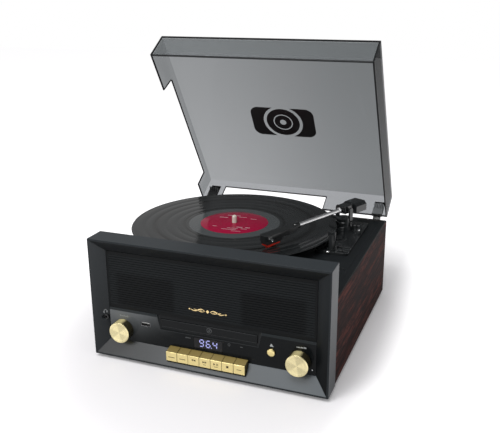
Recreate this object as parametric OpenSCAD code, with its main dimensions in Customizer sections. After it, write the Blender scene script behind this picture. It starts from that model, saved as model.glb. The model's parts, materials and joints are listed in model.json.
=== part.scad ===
// Stereo music centre: turntable under a hinged clear lid, disc drawer and radio
// behind a deep picture-frame bezel, in a wooden cabinet. Sizes in millimetres.
// Origin: centre of the footprint on the floor. Front towards -Y, +Z up.
// The lid is drawn open and the tonearm over the record.

/* [Cabinet] */
// Width of the front bezel
body_w = 322; // [312:1:345]
// Depth from the bezel's front edge to the rear board
body_d = 338; // [334:1:370]
// Height of the front bezel
bezel_h = 163.5; // [160:0.5:175]
// Height of the turntable deck above the cabinet's underside
deck_h = 118.5; // [114:0.5:122]
// Thickness of the wooden side boards
side_t = 9; // [7:0.5:10]
// Thickness of the rear board
rear_t = 8; // [6:0.5:10]
// Thickness of the base board
base_t = 8; // [6:0.5:10]
// Thickness of the turntable deck
deck_t = 3; // [2.5:0.5:4]
// How far each side board stands in from the bezel's edge
side_inset = 0.75; // [0.5:0.25:3]
// Height of the rubber feet
foot_h = 5; // [4:0.5:8]
// Radius of a rubber foot
foot_r = 11; // [9:0.5:14]

/* [Bezel] */
// Depth of the bezel, front to back
bezel_d = 32; // [31:1:36]
// Width of the flat front lip round the sloping surround
bezel_lip = 2.5; // [2:0.5:4]
// Wall thickness of the bezel moulding
bezel_wall = 3; // [2.5:0.5:3.5]
// Depth of the grille and panel behind the lip
panel_recess = 12; // [11:0.5:14]
// Width of the sloping surround at each side
surround_side = 19; // [17:0.5:21]
// Height of the sloping surround below the panel
surround_bottom = 21.3; // [20:0.1:23]
// Height of the sloping surround above the grille
surround_top = 17.5; // [15:0.5:20]

/* [Front] */
// Height of the gloss control panel
panel_h = 45.2; // [44:0.2:47]
// Thickness of the panel and the grille frame
plate_t = 4; // [3.5:0.5:5]
// Height of one grille bar
bar_h = 1.7; // [1.2:0.1:2]
// Distance from one grille bar to the next
bar_pitch = 3.2; // [2.8:0.1:4]
// Width of the speaker openings
speaker_w = 80; // [70:1:84]
// Height of the speaker openings
speaker_h = 38; // [32:1:40]
// Distance of each speaker from the middle
speaker_x = 89; // [86:1:96]
// Radius of the knobs
knob_r = 14.5; // [12:0.5:15]
// Length of the knobs
knob_len = 13.5; // [11:0.5:16]
// Distance of each knob from the panel's end
knob_in = 20.5; // [18:0.5:24]
// Radius of the knob shafts
knob_shaft_r = 3; // [2.5:0.25:3.5]
// Radius of the eject button
eject_r = 5.2; // [4.5:0.1:6]
// Distance of the eject button from the middle
eject_x = 85; // [82:0.5:92]
// Travel of the eject button
eject_travel = 1.2; // [0.8:0.1:1.5]
// Width of the glowing number window
window_w = 40; // [34:1:48]
// Height of the glowing number window
window_h = 15; // [13:0.5:16]
// Radius of the headphone plug's bore
jack_r = 1.8; // [1.78:0.01:1.85]

/* [Keys] */
// Number of keys in the bank
key_count = 7; // [7:1:7]
// Distance from one key to the next
key_pitch = 15.57; // [15:0.01:16]
// Gap between two keys
key_gap = 0.5; // [0.4:0.1:0.8]
// Height of a key's front face
key_h = 12.9; // [11:0.1:14]
// Height of the keys' lower edge above the underside
key_low = 9.8; // [9.6:0.1:11]
// Radius of the shaft the keys turn on
key_shaft_r = 1.5; // [1.2:0.1:1.8]
// Angle a key turns when it is pressed
key_press = 3; // [2:0.1:3.2]

/* [Disc drawer] */
// Width of the drawer's front
tray_w = 132.4; // [130:0.2:134]
// Height of the drawer's front
tray_h = 11.2; // [10.8:0.1:11.6]
// Length of the drawer's platform
tray_len = 138; // [134:1:142]
// Radius of the disc that the drawer holds
disc_r = 60; // [60:0.5:60]

/* [Turntable] */
// Platter centre from the middle of the cabinet
platter_x = -40; // [-42:0.5:-38]
// Platter centre from the middle of the cabinet's depth
platter_y = 32; // [30:0.5:34]
// Radius of the platter
platter_r = 100; // [92:1:110]
// Radius of the ring that the belt drives
drive_r = 70; // [66:0.5:74]
// Thickness of the platter's disc
platter_t = 5.2; // [4:0.2:6]
// Depth of the platter's skirt below its disc
platter_skirt = 4; // [3.5:0.5:4.5]
// Gap from the deck to the platter's skirt
platter_gap = 3.5; // [3:0.5:4]
// Thickness of the slip mat
mat_t = 2.5; // [2:0.5:3]
// Radius of the record
record_r = 150.8; // [150:0.2:151]
// Thickness of the record
record_t = 1.8; // [1.6:0.1:2.2]
// Radius of the record's paper label
label_r = 50; // [48:0.5:52]
// Radius of the spindle
spindle_r = 3.575; // [3.55:0.005:3.6]
// Height of the spindle above the record
spindle_up = 11.5; // [9:0.5:13]
// Radius of the motor pulley
pulley_r = 6; // [5:0.5:7]

/* [Tonearm] */
// Arm pivot from the middle of the cabinet
pivot_x = 108; // [108:0.5:110]
// Arm pivot from the middle of the cabinet's depth
pivot_y = 103; // [103:0.5:106]
// Height of the arm tube above the deck
arm_up = 33.5; // [33:0.1:34.5]
// Distance from the pivot to the stylus
arm_len = 171; // [168:0.5:173]
// Angle of the arm inwards from straight ahead
arm_yaw = 23.4; // [20:0.1:26]
// Radius of the arm tube
tube_r = 3; // [2.5:0.25:3.25]
// Radius of the pivot tower
tower_r = 12; // [11:0.25:12]
// Rise of the cueing lifter
cue_rise = 3.6; // [3:0.1:3.6]

/* [Lid] */
// Height of the lid above the deck
lid_h = 45; // [44.5:0.1:50]
// Thickness of the clear lid's walls
lid_t = 2.5; // [2:0.1:3]
// How far the lid stands in from the bezel's sides
lid_inset = 1.4; // [1:0.1:3]
// Gap between the closed lid and the bezel
lid_gap = 4.5; // [3:0.5:6]
// Gap under the closed lid
lid_lift = 0.5; // [0.4:0.1:1]
// Angle that the lid stands open
lid_open = 58; // [50:1:60]
// Height of the cut-outs that clear a large record
notch_h = 28.3; // [24:0.1:30]
// Distance of each hinge from the bezel's side
hinge_in = 18; // [16:0.5:23]
// Distance of the hinge axis behind the rear board
hinge_back = 5; // [4.6:0.1:6]
// Distance of the hinge axis below the deck
hinge_drop = 5.4; // [5:0.1:6]
// Radius of a hinge pin
hinge_pin_r = 1.2; // [1:0.1:1.4]

/* [Hidden] */

$fn = 48;
eps = 0.01;
fit = 0.2;        // gap round a piece that is fitted and fixed
run = 0.05;       // radial gap of a shaft that turns in a bore
slide = 0.35;     // gap beside a piece that slides
clear = 0.3;      // gap between pieces of different bodies

// Cabinet
front_y = -body_d / 2;
rear_y = body_d / 2;
base_z = foot_h;
deck_z = foot_h + deck_h;
top_z = foot_h + bezel_h;
bezel_back = front_y + bezel_d;
cab_x = body_w / 2 - side_inset;         // outer face of a side board
in_x = cab_x - side_t;                   // inner face of a side board
in_y = rear_y - rear_t;                  // inner face of the rear board
floor_z = base_z + base_t;               // top of the base board
under_z = deck_z - deck_t;               // underside of the deck

// Bezel and what it frames
panel_y = front_y + panel_recess;
plug_back = panel_y + plate_t;
flange_t = 2;
flange = 6;
flange_back = plug_back + flange_t;
open_x = body_w / 2 - surround_side;
knob_x = open_x - knob_in;
open_z0 = base_z + surround_bottom;
open_z1 = top_z - surround_top;
split_z = open_z0 + panel_h;             // top of the panel, foot of the grille
baffle_t = 3;
baffle_back = flange_back + baffle_t;
speaker_z = split_z + speaker_h / 2 + 8.5;
control_z = open_z0 + 16.2;              // height of the knobs
eject_z = open_z0 + 21;
board_y = flange_back + 9;               // front face of the control board
board_t = 1.6;

// Drawer
tray_z0 = split_z - 5.1 - tray_h;        // lower edge of the drawer's front
tray_z1 = tray_z0 + tray_h;
tray_back = plug_back + tray_len;
tray_under = tray_z0 + 1;                // underside of the platform
tray_top = tray_under + 5;
small_disc_r = 40;                       // recess for an 8 cm disc
disc_y = plug_back + disc_r + 5;         // disc centre with the drawer shut
hub_r = 13;
well_w = 34;                             // width of the slot for hub and laser

// Keys
key_w = key_pitch - key_gap;
bank_w = key_count * key_pitch;
key_z0 = base_z + key_low;
key_slope = 0.2;                         // rise of the key's top towards the panel
key_axis_y = bezel_back + 6;
key_axis_z = key_z0 + 9.2;
key_drop = (key_axis_y - front_y) * sin(key_press);
key_z1 = key_z0 + key_h + key_slope * panel_recess;   // top of the key at the panel
key_slot_top = key_z1 + 0.5;

// Turntable
platter_z = deck_z + platter_gap;
plate_z = platter_z + platter_skirt;     // underside of the platter's disc
mat_z = plate_z + platter_t;
record_z = mat_z + mat_t;
record_top = record_z + record_t;
label_t = 0.2;
belt_h = 3;
belt_t = 0.7;
belt_z = platter_z + 0.2;
pulley_x = drive_r + pulley_r + 9;       // pulley centre from the platter's
pulley_dir = 118;                        // direction of the pulley, seen from above
motor_r = 16;
motor_h = 22;

// Tonearm
arm_z = deck_z + arm_up;
arm_base_t = 4;
arm_base_z = deck_z + arm_base_t;
tower_h = 15.2;
tower_z = deck_z + tower_h;
yoke_shaft_r = 3;
yoke_t = 4.4;
cheek_z = record_top + 1;                // the cheeks start above the record
yoke_z = tower_z + clear;
yoke_x = 10.5;                           // inner face of a yoke cheek
cheek_t = 3;
pivot_pin_r = 1.5;
block_w = 16;
shell_w = 15;
shell_t = 7.5;
shell_low = -5;                          // underside of the head, from the arm's axis
cart_h = 6;
rest_x = pivot_x + 7;
rest_y = pivot_y - 98;
cue_x = pivot_x + 9.4;
cue_y = pivot_y - 20;
cue_r = 2.5;
cue_top = arm_z - tube_r - clear - cue_rise;
lever_x = pivot_x + 26;
lever_y = pivot_y - 5;
lever_z = arm_base_z + 6;

// Lid, drawn shut and then turned open about the hinge axis
hinge_x = body_w / 2 - hinge_in;
hinge_y = rear_y + hinge_back;
hinge_z = deck_z - hinge_drop;
lid_x = body_w / 2 - lid_inset;
lid_front = bezel_back + lid_gap;
lid_rear = rear_y - 1;
lid_z = deck_z + lid_lift;
lid_top = deck_z + lid_h;
barrel_r = 3.4;
leaf_t = 1.6;
leaf_w = 16;
barrel_w = 11.4;

wood = [0.29, 0.16, 0.14];
black = [0.12, 0.13, 0.14];
charcoal = [0.24, 0.26, 0.27];
steel = [0.72, 0.73, 0.75];
gold = [0.86, 0.74, 0.42];
smoke = [0.45, 0.47, 0.48, 0.55];
green = [0.12, 0.35, 0.2];
rubber = [0.08, 0.08, 0.08];

// A box between two corners
module block(lo, hi) translate(lo) cube(hi - lo);

// A rectangle with round corners, centred
module round_rect(w, h, r) {
  square([w - 2 * r, h], center = true);
  square([w, h - 2 * r], center = true);
  for (x = [-1, 1], y = [-1, 1])
    translate([x * (w / 2 - r), y * (h / 2 - r)]) circle(r);
}

// A flat outline in X and Z, given thickness from y0 back to y1
module upright(y0, y1) translate([0, y1, 0]) rotate([90, 0, 0]) linear_extrude(y1 - y0) children();

// An outline in Y and Z, given width from x0 to x1
module sideways(x0, x1)
  translate([x0, 0, 0]) rotate([90, 0, 90]) linear_extrude(x1 - x0) children();

// A round bar along Y or along X
module bar_y(r, y0, y1) translate([0, y0, 0]) rotate([-90, 0, 0]) cylinder(r = r, h = y1 - y0);
module bar_x(r, x0, x1) translate([x0, 0, 0]) rotate([0, 90, 0]) cylinder(r = r, h = x1 - x0);

// ---- Cabinet

module side_board() {
  chamfer = 1;
  translate([0, rear_y, 0]) rotate([90, 0, 0]) linear_extrude(rear_y - bezel_back)
    polygon([[in_x, base_z], [cab_x - chamfer, base_z], [cab_x, base_z + chamfer],
             [cab_x, deck_z - chamfer], [cab_x - chamfer, deck_z], [in_x, deck_z]]);
}

module left_side() color(wood) mirror([1, 0, 0]) side_board();
module right_side() color(wood) side_board();

foot_in = 18;                            // from a foot's centre to the boards' inner faces
foot_screw_r = 2.6;
vent_w = 36;
vent_h = 3;
vent_pitch = 8;
socket_w = 92;
socket_h = 30;
socket_x = -70;
socket_z = base_z + 40;

module rear_board() color(wood) difference() {
  block([-in_x, in_y, base_z], [in_x, rear_y, deck_z]);
  for (x = [40, 84], i = [0:5])
    translate([x, rear_y, base_z + 38 + i * vent_pitch]) upright(-rear_t - 1, 1)
      round_rect(vent_w, vent_h, 1.2);
  translate([socket_x, rear_y, socket_z]) upright(-rear_t - 1, 1)
    round_rect(socket_w + 2 * fit, socket_h + 2 * fit, 3);
}

module base_board() color(black) difference() {
  block([-in_x, bezel_back, base_z], [in_x, in_y, floor_z]);
  for (x = [-60, 60], i = [-3:3])
    translate([x, 60 + i * vent_pitch, base_z - 1]) linear_extrude(base_t + 2)
      round_rect(vent_w * 1.6, vent_h, 1.2);
}

// Four feet near the corners and one in the middle, each sunk round its screw
module feet() color(rubber)
  for (at = concat([[0, 0]], [for (x = [-1, 1], y = [bezel_back + foot_in, in_y - foot_in])
                              [x * (in_x - foot_in), y]]))
    translate(at) rotate_extrude() difference() {
      polygon([[0, 0], [foot_r - 1.5, 0], [foot_r - 0.5, 1], [foot_r, foot_h], [0, foot_h]]);
      translate([0, -eps]) square([foot_screw_r, 2]);
    }

// ---- Front

// The sloping surround: wide at the lip, narrow at the panel
module surround() hull() {
  block([-body_w / 2 + bezel_lip, front_y - 1, base_z + bezel_lip],
        [body_w / 2 - bezel_lip, front_y, top_z - bezel_lip]);
  block([-open_x, panel_y - eps, open_z0], [open_x, panel_y, open_z1]);
}

jack_x = -open_x - 4.6;
jack_z = split_z - 14.6;
jack_y = front_y + 9;
jack_len = 14;

module front_bezel() color(charcoal) difference() {
  block([-body_w / 2, front_y, base_z], [body_w / 2, bezel_back, top_z]);
  surround();
  block([-open_x, panel_y - 1, open_z0], [open_x, plug_back + 1, open_z1]);
  block([-body_w / 2 + bezel_wall, plug_back, base_z + bezel_wall],
        [body_w / 2 - bezel_wall, bezel_back - bezel_wall, top_z - bezel_wall]);
  block([-in_x, plug_back + 1, base_z + bezel_wall], [in_x, bezel_back + 1, under_z]);
  // room for the keys to dip
  block([-bank_w / 2 - bank_gap, front_y - 1, key_z0 - key_drop - 0.9],
        [bank_w / 2 + bank_gap, plug_back + 1, open_z0 + 1]);
  translate([jack_x, 0, jack_z]) bar_y(4, front_y - 1, plug_back + 1);
}

module racetrack(w, h) round_rect(w, h, h / 2 - eps);

module speaker_baffle() color(black)
  upright(flange_back, baffle_back) difference() {
    z0 = split_z + 3;
    z1 = top_z - bezel_wall - fit;
    translate([0, (z0 + z1) / 2]) square([body_w - 2 * bezel_wall - 2 * fit, z1 - z0], center = true);
    for (x = [-1, 1]) translate([x * speaker_x, speaker_z]) racetrack(speaker_w, speaker_h);
  }

grille_w = 2 * open_x - 2 * fit;
grille_h = open_z1 - split_z - 2 * fit;
grille_z = (open_z1 + split_z) / 2;
grille_border = 3;
rib_w = 1.6;
grille_cols = 6;
bar_count = floor((grille_h - 2 * grille_border + bar_h) / bar_pitch);

// Horizontal bars in a frame, with upright ribs behind them
module speaker_grille() color(black) {
  span = grille_w - 2 * grille_border;
  gap_h = bar_pitch - bar_h;
  stack = (bar_count - 1) * bar_pitch;
  difference() {
    upright(panel_y, plug_back) translate([0, grille_z]) square([grille_w, grille_h], center = true);
    block([-span / 2, panel_y + 1.6, grille_z - grille_h / 2 + grille_border],
          [span / 2, plug_back + 1, grille_z + grille_h / 2 - grille_border]);
    for (i = [0:bar_count - 1])
      translate([0, 0, grille_z - stack / 2 + i * bar_pitch])
        block([-span / 2, panel_y - 1, -gap_h / 2], [span / 2, panel_y + 2, gap_h / 2]);
  }
  for (i = [1:grille_cols - 1])
    translate([-span / 2 + i * span / grille_cols, 0, grille_z])
      block([-rib_w / 2, panel_y + 1.6, -grille_h / 2 + 1], [rib_w / 2, plug_back, grille_h / 2 - 1]);
  upright(plug_back, flange_back) translate([0, grille_z]) difference() {
    translate([0, flange / 2]) square([grille_w + 2 * flange, grille_h + flange], center = true);
    square([span, grille_h - 2 * grille_border], center = true);
  }
}

speaker_depth = 28;

// Racetrack loudspeakers: steel basket, cone and magnet
module speakers() color([0.2, 0.2, 0.21])
  for (x = [-1, 1]) translate([x * speaker_x, baffle_back, speaker_z]) {
    upright(0, 2) difference() {
      round_rect(speaker_w + 10, speaker_h + 6, 12);
      racetrack(speaker_w - 6, speaker_h - 6);
    }
    upright(2, 12) difference() {
      racetrack(speaker_w - 2, speaker_h - 2);
      racetrack(speaker_w - 6, speaker_h - 6);
    }
    translate([0, 2, 0]) rotate([-90, 0, 0]) rotate_extrude()
      polygon([[15.9, 0], [7, 7], [0, 4], [0, 5.5], [7, 9], [14.6, 1.6]]);
    upright(10, 12) racetrack(speaker_w - 2, speaker_h - 2);
    upright(2, 3) difference() {
      racetrack(speaker_w - 5, speaker_h - 5);
      circle(15);
    }
    bar_y(15, 12, speaker_depth);
  }

pocket_top = 72;                         // half-widths of the pocket round the drawer
pocket_low = 67.5;
pocket_z = tray_z0 - 4;
pocket_d = 1.2;
pocket_slope = 1.7;
bank_gap = 0.4;                          // gap at each end of the key bank
usb_x = -(knob_x - knob_r + pocket_top - 1) / 2;
usb_z = split_z - 17.5;
usb_w = 13.2;
usb_h = 5.8;
usb_len = board_y - panel_y - 0.4;
window_z = open_z0 + 7.2;                // lower edge of the number window

// Outline of the pocket, drawn in by a distance
module pocket_outline(in)
  polygon([[in - pocket_top, split_z + 1], [pocket_top - in, split_z + 1],
           [pocket_low - in, pocket_z + in], [in - pocket_low, pocket_z + in]]);

module control_panel() color([0.1, 0.11, 0.12]) difference() {
  union() {
    block([-open_x + fit, panel_y, open_z0 + fit], [open_x - fit, plug_back, split_z]);
    block([-open_x + fit, plug_back, open_z0 - flange], [open_x - fit, flange_back, split_z - fit]);
  }
  // sloping pocket round the drawer
  hull() {
    upright(panel_y - 1, panel_y) pocket_outline(0);
    upright(panel_y, panel_y + pocket_d) pocket_outline(pocket_slope);
  }
  block([-tray_w / 2 - slide, panel_y - 1, tray_z0 - slide],
        [tray_w / 2 + slide, flange_back + 1, tray_z1 + slide]);
  block([-window_w / 2, panel_y - 1, window_z], [window_w / 2, flange_back + 1, window_z + window_h]);
  for (x = [-knob_x, knob_x]) translate([x, 0, control_z])
    bar_y(bush_r + fit, panel_y - 1, flange_back + 1);
  translate([eject_x, 0, eject_z]) bar_y(eject_r + clear, panel_y - 1, flange_back + 1);
  translate([usb_x, 0, usb_z]) block([-usb_w / 2 - fit, panel_y - 1, -usb_h / 2 - fit],
    [usb_w / 2 + fit, flange_back + 1, usb_h / 2 + fit]);
  block([-bank_w / 2 - bank_gap, panel_y - 1, open_z0 - flange - 1],
        [bank_w / 2 + bank_gap, flange_back + 1, key_slot_top]);
}

module display_window() color([0.05, 0.05, 0.06])
  block([-window_w / 2 + fit, panel_y, window_z + fit],
        [window_w / 2 - fit, panel_y + 2.5, window_z + window_h - fit]);

module display_module() color([0.85, 0.86, 0.9]) {
  block([-window_w / 2 + 2, panel_y + 2.5, window_z + 1],
        [window_w / 2 - 2, panel_y + 9, window_z + window_h - 1]);
  for (x = [-12:4:12]) translate([x, 0, window_z + window_h / 2]) bar_y(0.4, panel_y + 9, board_y);
}

board_x = open_x - 3;
board_z0 = key_z0 + 18.5;
board_z1 = tray_z0 - 7.4;                // the board's middle stays below the drawer
board_wing = tray_w / 2 + 9.8;           // where its two wings begin
post_x = knob_x - 18.5;
post_r = 2.6;

// Circuit board behind the panel, with a wing at each side of the drawer, on four posts
module control_board() color(green) {
  block([-board_x, board_y, board_z0], [board_x, board_y + board_t, board_z1]);
  for (x = [-1, 1]) {
    block([x > 0 ? board_wing : -board_x, board_y, board_z1 - 1],
          [x > 0 ? board_x : -board_wing, board_y + board_t, split_z - 2]);
    for (z = [open_z0 + 11, split_z - 6])
      translate([x * post_x, 0, z]) bar_y(post_r, flange_back, board_y + eps);
  }
}

can_w = 15;                              // square can of a rotary control
bush_r = knob_shaft_r + 1.6;

// Bushes and cans of the two rotary controls, and the eject switch
module rotary_controls() color(steel) {
  for (x = [-knob_x, knob_x]) translate([x, 0, control_z]) difference() {
    union() {
      bar_y(bush_r, panel_y + 0.5, flange_back + 3);
      block([-can_w / 2, flange_back, -can_w / 2], [can_w / 2, board_y, can_w / 2]);
    }
    bar_y(knob_shaft_r + run, panel_y - 1, flange_back + 8);
  }
  translate([eject_x, 0, eject_z]) {
    block([-3, board_y - 3.4, -3], [3, board_y, 3]);
    bar_y(1.7, flange_back + 2.2 + eject_travel, board_y - 3);
  }
}

knob_gap = 0.4;

// A turned knob with a dished face, on its own shaft
module knob(x) color(gold) translate([x, panel_y - knob_gap - knob_len, control_z])
  rotate([-90, 0, 0]) rotate_extrude($fn = 64) {
    shaft_end = knob_len + knob_gap + plate_t + flange_t + 6;
    hub_r = knob_shaft_r + 2.6;
    polygon([[0, 0.6], [knob_r * 0.45, 0.5], [knob_r - 2, 0], [knob_r - 0.8, 0],
             [knob_r - 0.2, 0.7], [knob_r, 1.6], [knob_r, knob_len - 1], [knob_r - 0.6, knob_len],
             [hub_r, knob_len], [hub_r, knob_len - 3], [knob_shaft_r, knob_len - 3],
             [knob_shaft_r, shaft_end], [0, shaft_end]]);
  }

module tuning_knob() knob(-knob_x);
module volume_knob() knob(knob_x);

// Domed button with a collar that keeps it behind the panel
module eject_button() color(gold) translate([eject_x, panel_y - 3.2, eject_z]) rotate([-90, 0, 0])
  rotate_extrude() {
    back = flange_back - panel_y + 3.2 + clear;
    polygon([[0, 0], [eject_r * 0.6, 0.25], [eject_r - 0.4, 0.9], [eject_r, 1.6],
             [eject_r, back], [eject_r + 1.5, back], [eject_r + 1.5, back + 1.2],
             [2, back + 1.2], [2, back + 1.6], [0, back + 1.6]]);
  }

module usb_socket() color(steel) translate([usb_x, panel_y + 0.4, usb_z]) {
  difference() {
    block([-usb_w / 2, 0, -usb_h / 2], [usb_w / 2, usb_len, usb_h / 2]);
    block([-usb_w / 2 + 0.4, -1, -usb_h / 2 + 0.4], [usb_w / 2 - 0.4, usb_len - 1, usb_h / 2 - 0.4]);
  }
  block([-usb_w / 2 + 1.2, 1, usb_h / 2 - 1.9], [usb_w / 2 - 1.2, usb_len - 0.5, usb_h / 2 - 0.9]);
}

// Socket for a 3.5 mm plug, set through the sloping surround
module headphone_socket() color(black) translate([jack_x, jack_y, jack_z]) difference() {
  union() {
    bar_y(4 - fit, 0, plug_back - jack_y + 1);
    block([-4.4, plug_back - jack_y, -5.4], [4.2, jack_len, 5.4]);
  }
  bar_y(jack_r, -1, jack_len + 1);
}

// ---- Keys

// One key, its top sloping down to the front, with an arm back to the shaft
module key(i) color(gold) {
  x0 = -bank_w / 2 + i * key_pitch + key_gap / 2;
  z1 = key_z0 + key_h;
  back = flange_back + 1;
  difference() {
    union() {
      sideways(x0, x0 + key_w) polygon([[front_y, key_z0 + 0.5], [front_y + 0.5, key_z0],
        [back, key_z0], [back, key_z1], [panel_y, key_z1], [front_y + 0.5, z1 + 0.1],
        [front_y, z1 - 0.4]]);
      sideways(x0 + 4, x0 + key_w - 4) {
        polygon([[back - 1, key_axis_z - 3], [key_axis_y, key_axis_z - 3],
          [key_axis_y, key_axis_z + 3], [back - 1, key_axis_z + 3]]);
        translate([key_axis_y, key_axis_z]) circle(key_shaft_r + 2.3);
      }
    }
    translate([0, key_axis_y, key_axis_z]) bar_x(key_shaft_r + run, x0 - 1, x0 + key_w + 1);
  }
}

module key_1() key(0);
module key_2() key(1);
module key_3() key(2);
module key_4() key(3);
module key_5() key(4);
module key_6() key(5);
module key_7() key(6);

ear_x = bank_w / 2 + 3;

module key_shaft() color(steel)
  translate([0, key_axis_y, key_axis_z]) bar_x(key_shaft_r, -ear_x - 3, ear_x + 3);

// Pressed frame: two ears on a strip that is screwed to the base board
module key_frame() color(steel) {
  for (x = [-ear_x - 1, ear_x - 1]) difference() {
    sideways(x, x + 2) {
      translate([key_axis_y, key_axis_z]) circle(5);
      translate([key_axis_y - 5, floor_z]) square([10, key_axis_z - floor_z]);
    }
    translate([0, key_axis_y, key_axis_z]) bar_x(key_shaft_r, x - 1, x + 3);
  }
  block([-ear_x - 1, key_axis_y - 5, floor_z], [ear_x + 1, key_axis_y + 5, floor_z + 1.5]);
}

// Push switches under the keys, on their own board
module key_switches() color(green) {
  y = flange_back + 5;
  press = (key_axis_y - y + 3) * sin(key_press);
  board_top = base_z + bezel_wall + 2.4;
  press_z = key_axis_z - 3 - press - clear;
  block([-bank_w / 2, y - 5, board_top - 1.4], [bank_w / 2, y + 5, board_top]);
  for (i = [0:key_count - 1]) translate([-bank_w / 2 + (i + 0.5) * key_pitch, y, board_top - eps]) {
    block([-3, -2.5, 0], [3, 2.5, press_z - board_top - 1]);
    cylinder(r = 1.7, h = press_z - board_top);
  }
  for (x = [-1, 1]) translate([x * (bank_w / 2 - 4), y, base_z + bezel_wall])
    cylinder(r = 2, h = 1 + eps);
}

// ---- Disc drawer

module disc_tray() color(black) {
  face = panel_y + pocket_d - 0.7;
  block([-tray_w / 2, face, tray_z0], [tray_w / 2, plug_back + eps, tray_z1]);
  difference() {
    block([-tray_w / 2 + 2, plug_back, tray_under], [tray_w / 2 - 2, tray_back, tray_top]);
    translate([0, disc_y, tray_top - 1.4]) cylinder(r = disc_r + 0.5, h = 5, $fn = 96);
    translate([0, disc_y, tray_top - 2.6]) cylinder(r = small_disc_r + 0.5, h = 5, $fn = 96);
    translate([0, disc_y, tray_z0]) cylinder(r = well_w / 2, h = 20);
    block([-well_w / 2, disc_y, tray_z0], [well_w / 2, tray_back + 1, tray_z1 + 5]);
  }
}

rail_x = tray_w / 2 - 2 + slide;
loader_z = tray_z0 - 5;
loader_back = tray_back + 5;

// Chassis with side rails, a floor with a slot, and a clamp bridge over the disc
module disc_loader() color(charcoal) {
  difference() {
    block([-rail_x - 5, baffle_back + 3, loader_z], [rail_x + 5, loader_back, loader_z + 1.6]);
    translate([0, disc_y, loader_z - 1]) cylinder(r = well_w / 2, h = 4);
    block([-well_w / 2, disc_y, loader_z - 1], [well_w / 2, loader_back - 8, loader_z + 4]);
  }
  for (x = [-1, 1]) {
    block([x > 0 ? rail_x : -rail_x - 5, baffle_back + 3, loader_z],
          [x > 0 ? rail_x + 5 : -rail_x, loader_back, tray_z1 + 3]);
    block([x > 0 ? rail_x - 5 : -rail_x - 1, baffle_back + 3, loader_z],
          [x > 0 ? rail_x + 1 : -rail_x + 5, loader_back, tray_under - slide]);
    for (y = [baffle_back + 14, loader_back - 14]) translate([x * (rail_x + 2.5), y, floor_z])
      cylinder(r = 2.5, h = loader_z - floor_z);
  }
  block([-rail_x - 5, disc_y - 12, tray_z1 + 3], [rail_x + 5, disc_y + 12, tray_z1 + 4.6]);
  translate([0, disc_y, tray_z1 - 1.4]) cylinder(r = hub_r, h = 4.6);
  // guide rods of the laser, and the spindle motor between them
  for (x = [-1, 1]) translate([x * (well_w / 2 - 3), 0, 0])
    block([-0.8, disc_y - 16, loader_z - 2.5], [0.8, loader_back - 6, loader_z + 0.05]);
  translate([0, disc_y, loader_z - 9]) difference() {
    cylinder(r = well_w / 2 - 2, h = 7);
    translate([0, 0, 1]) cylinder(r = 1.5 + run, h = 9);
  }
}

module disc_hub() color(steel) translate([0, disc_y, 0]) {
  translate([0, 0, loader_z - 7.6]) cylinder(r = 1.5, h = tray_z0 - loader_z + 8);
  translate([0, 0, tray_z0 - 0.6]) rotate_extrude()
    polygon([[0, 0], [hub_r - 1, 0], [hub_r, 1], [hub_r, 3.4], [7.4, 3.4], [6.6, 6], [0, 6]]);
}

module laser_sled() color(black) translate([0, disc_y + hub_r + 2, 0]) difference() {
  block([-well_w / 2 + 1.5, 0, loader_z + slide], [well_w / 2 - 1.5, 12, tray_z0 + 2.4]);
  translate([0, 6, tray_z0 + 1.4]) cylinder(r = 3, h = 3);
}

// ---- Inside

stand_h = 6;                             // height and radius of a board's stand-offs
stand_r = 3;
stand_in = 6;
parts_z = floor_z + stand_h + board_t;   // top of the boards on the floor

// A circuit board on four stand-offs
module floor_board(x0, x1, y0, y1) {
  block([x0, y0, floor_z + stand_h], [x1, y1, parts_z]);
  for (x = [x0 + stand_in, x1 - stand_in], y = [y0 + stand_in, y1 - stand_in])
    translate([x, y, floor_z]) cylinder(r = stand_r, h = stand_h);
}

main_x = 8 - in_x;
main_y = in_y - 131;
sink = [60, 3, 22];                      // heat sink of the amplifier chip
fin = [2, 10, 22];
chip = [14, 10, 3];

module main_board() color(green) {
  floor_board(main_x, -4, main_y, in_y - 14);
  for (i = [0:3]) translate([main_x + 22 + i * 22, main_y + 30, parts_z]) cylinder(r = 5, h = 13);
  for (i = [0:2]) translate([main_x + 18 + i * 34, main_y + 58, parts_z]) cube(chip);
  translate([main_x + 12, main_y + 76, parts_z]) {
    cube(sink);
    for (i = [0:7]) translate([i * 8, sink[1], 0]) cube(fin);
  }
}

supply_x = in_x - 10;
supply_y = in_y - 91;
core = [46, 32, 30];                     // laminated core of the transformer
winding = [32, 44, 22];

module power_supply() color([0.5, 0.36, 0.2]) {
  floor_board(20, supply_x, supply_y, in_y - 10);
  translate([supply_x - 11, supply_y + 38, parts_z]) {
    translate([-core[0], 0, 0]) cube(core);
    translate([-(core[0] + winding[0]) / 2, -(winding[1] - core[1]) / 2, 4]) cube(winding);
  }
  for (x = [supply_x - 95, supply_x - 73]) translate([x, supply_y + 26, parts_z]) cylinder(r = 9, h = 25);
}

inlet_x = 28;                            // places on the plate, from its middle
line_x = [-30, -8];
line_r = 4.15;
line_len = 8;

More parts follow.
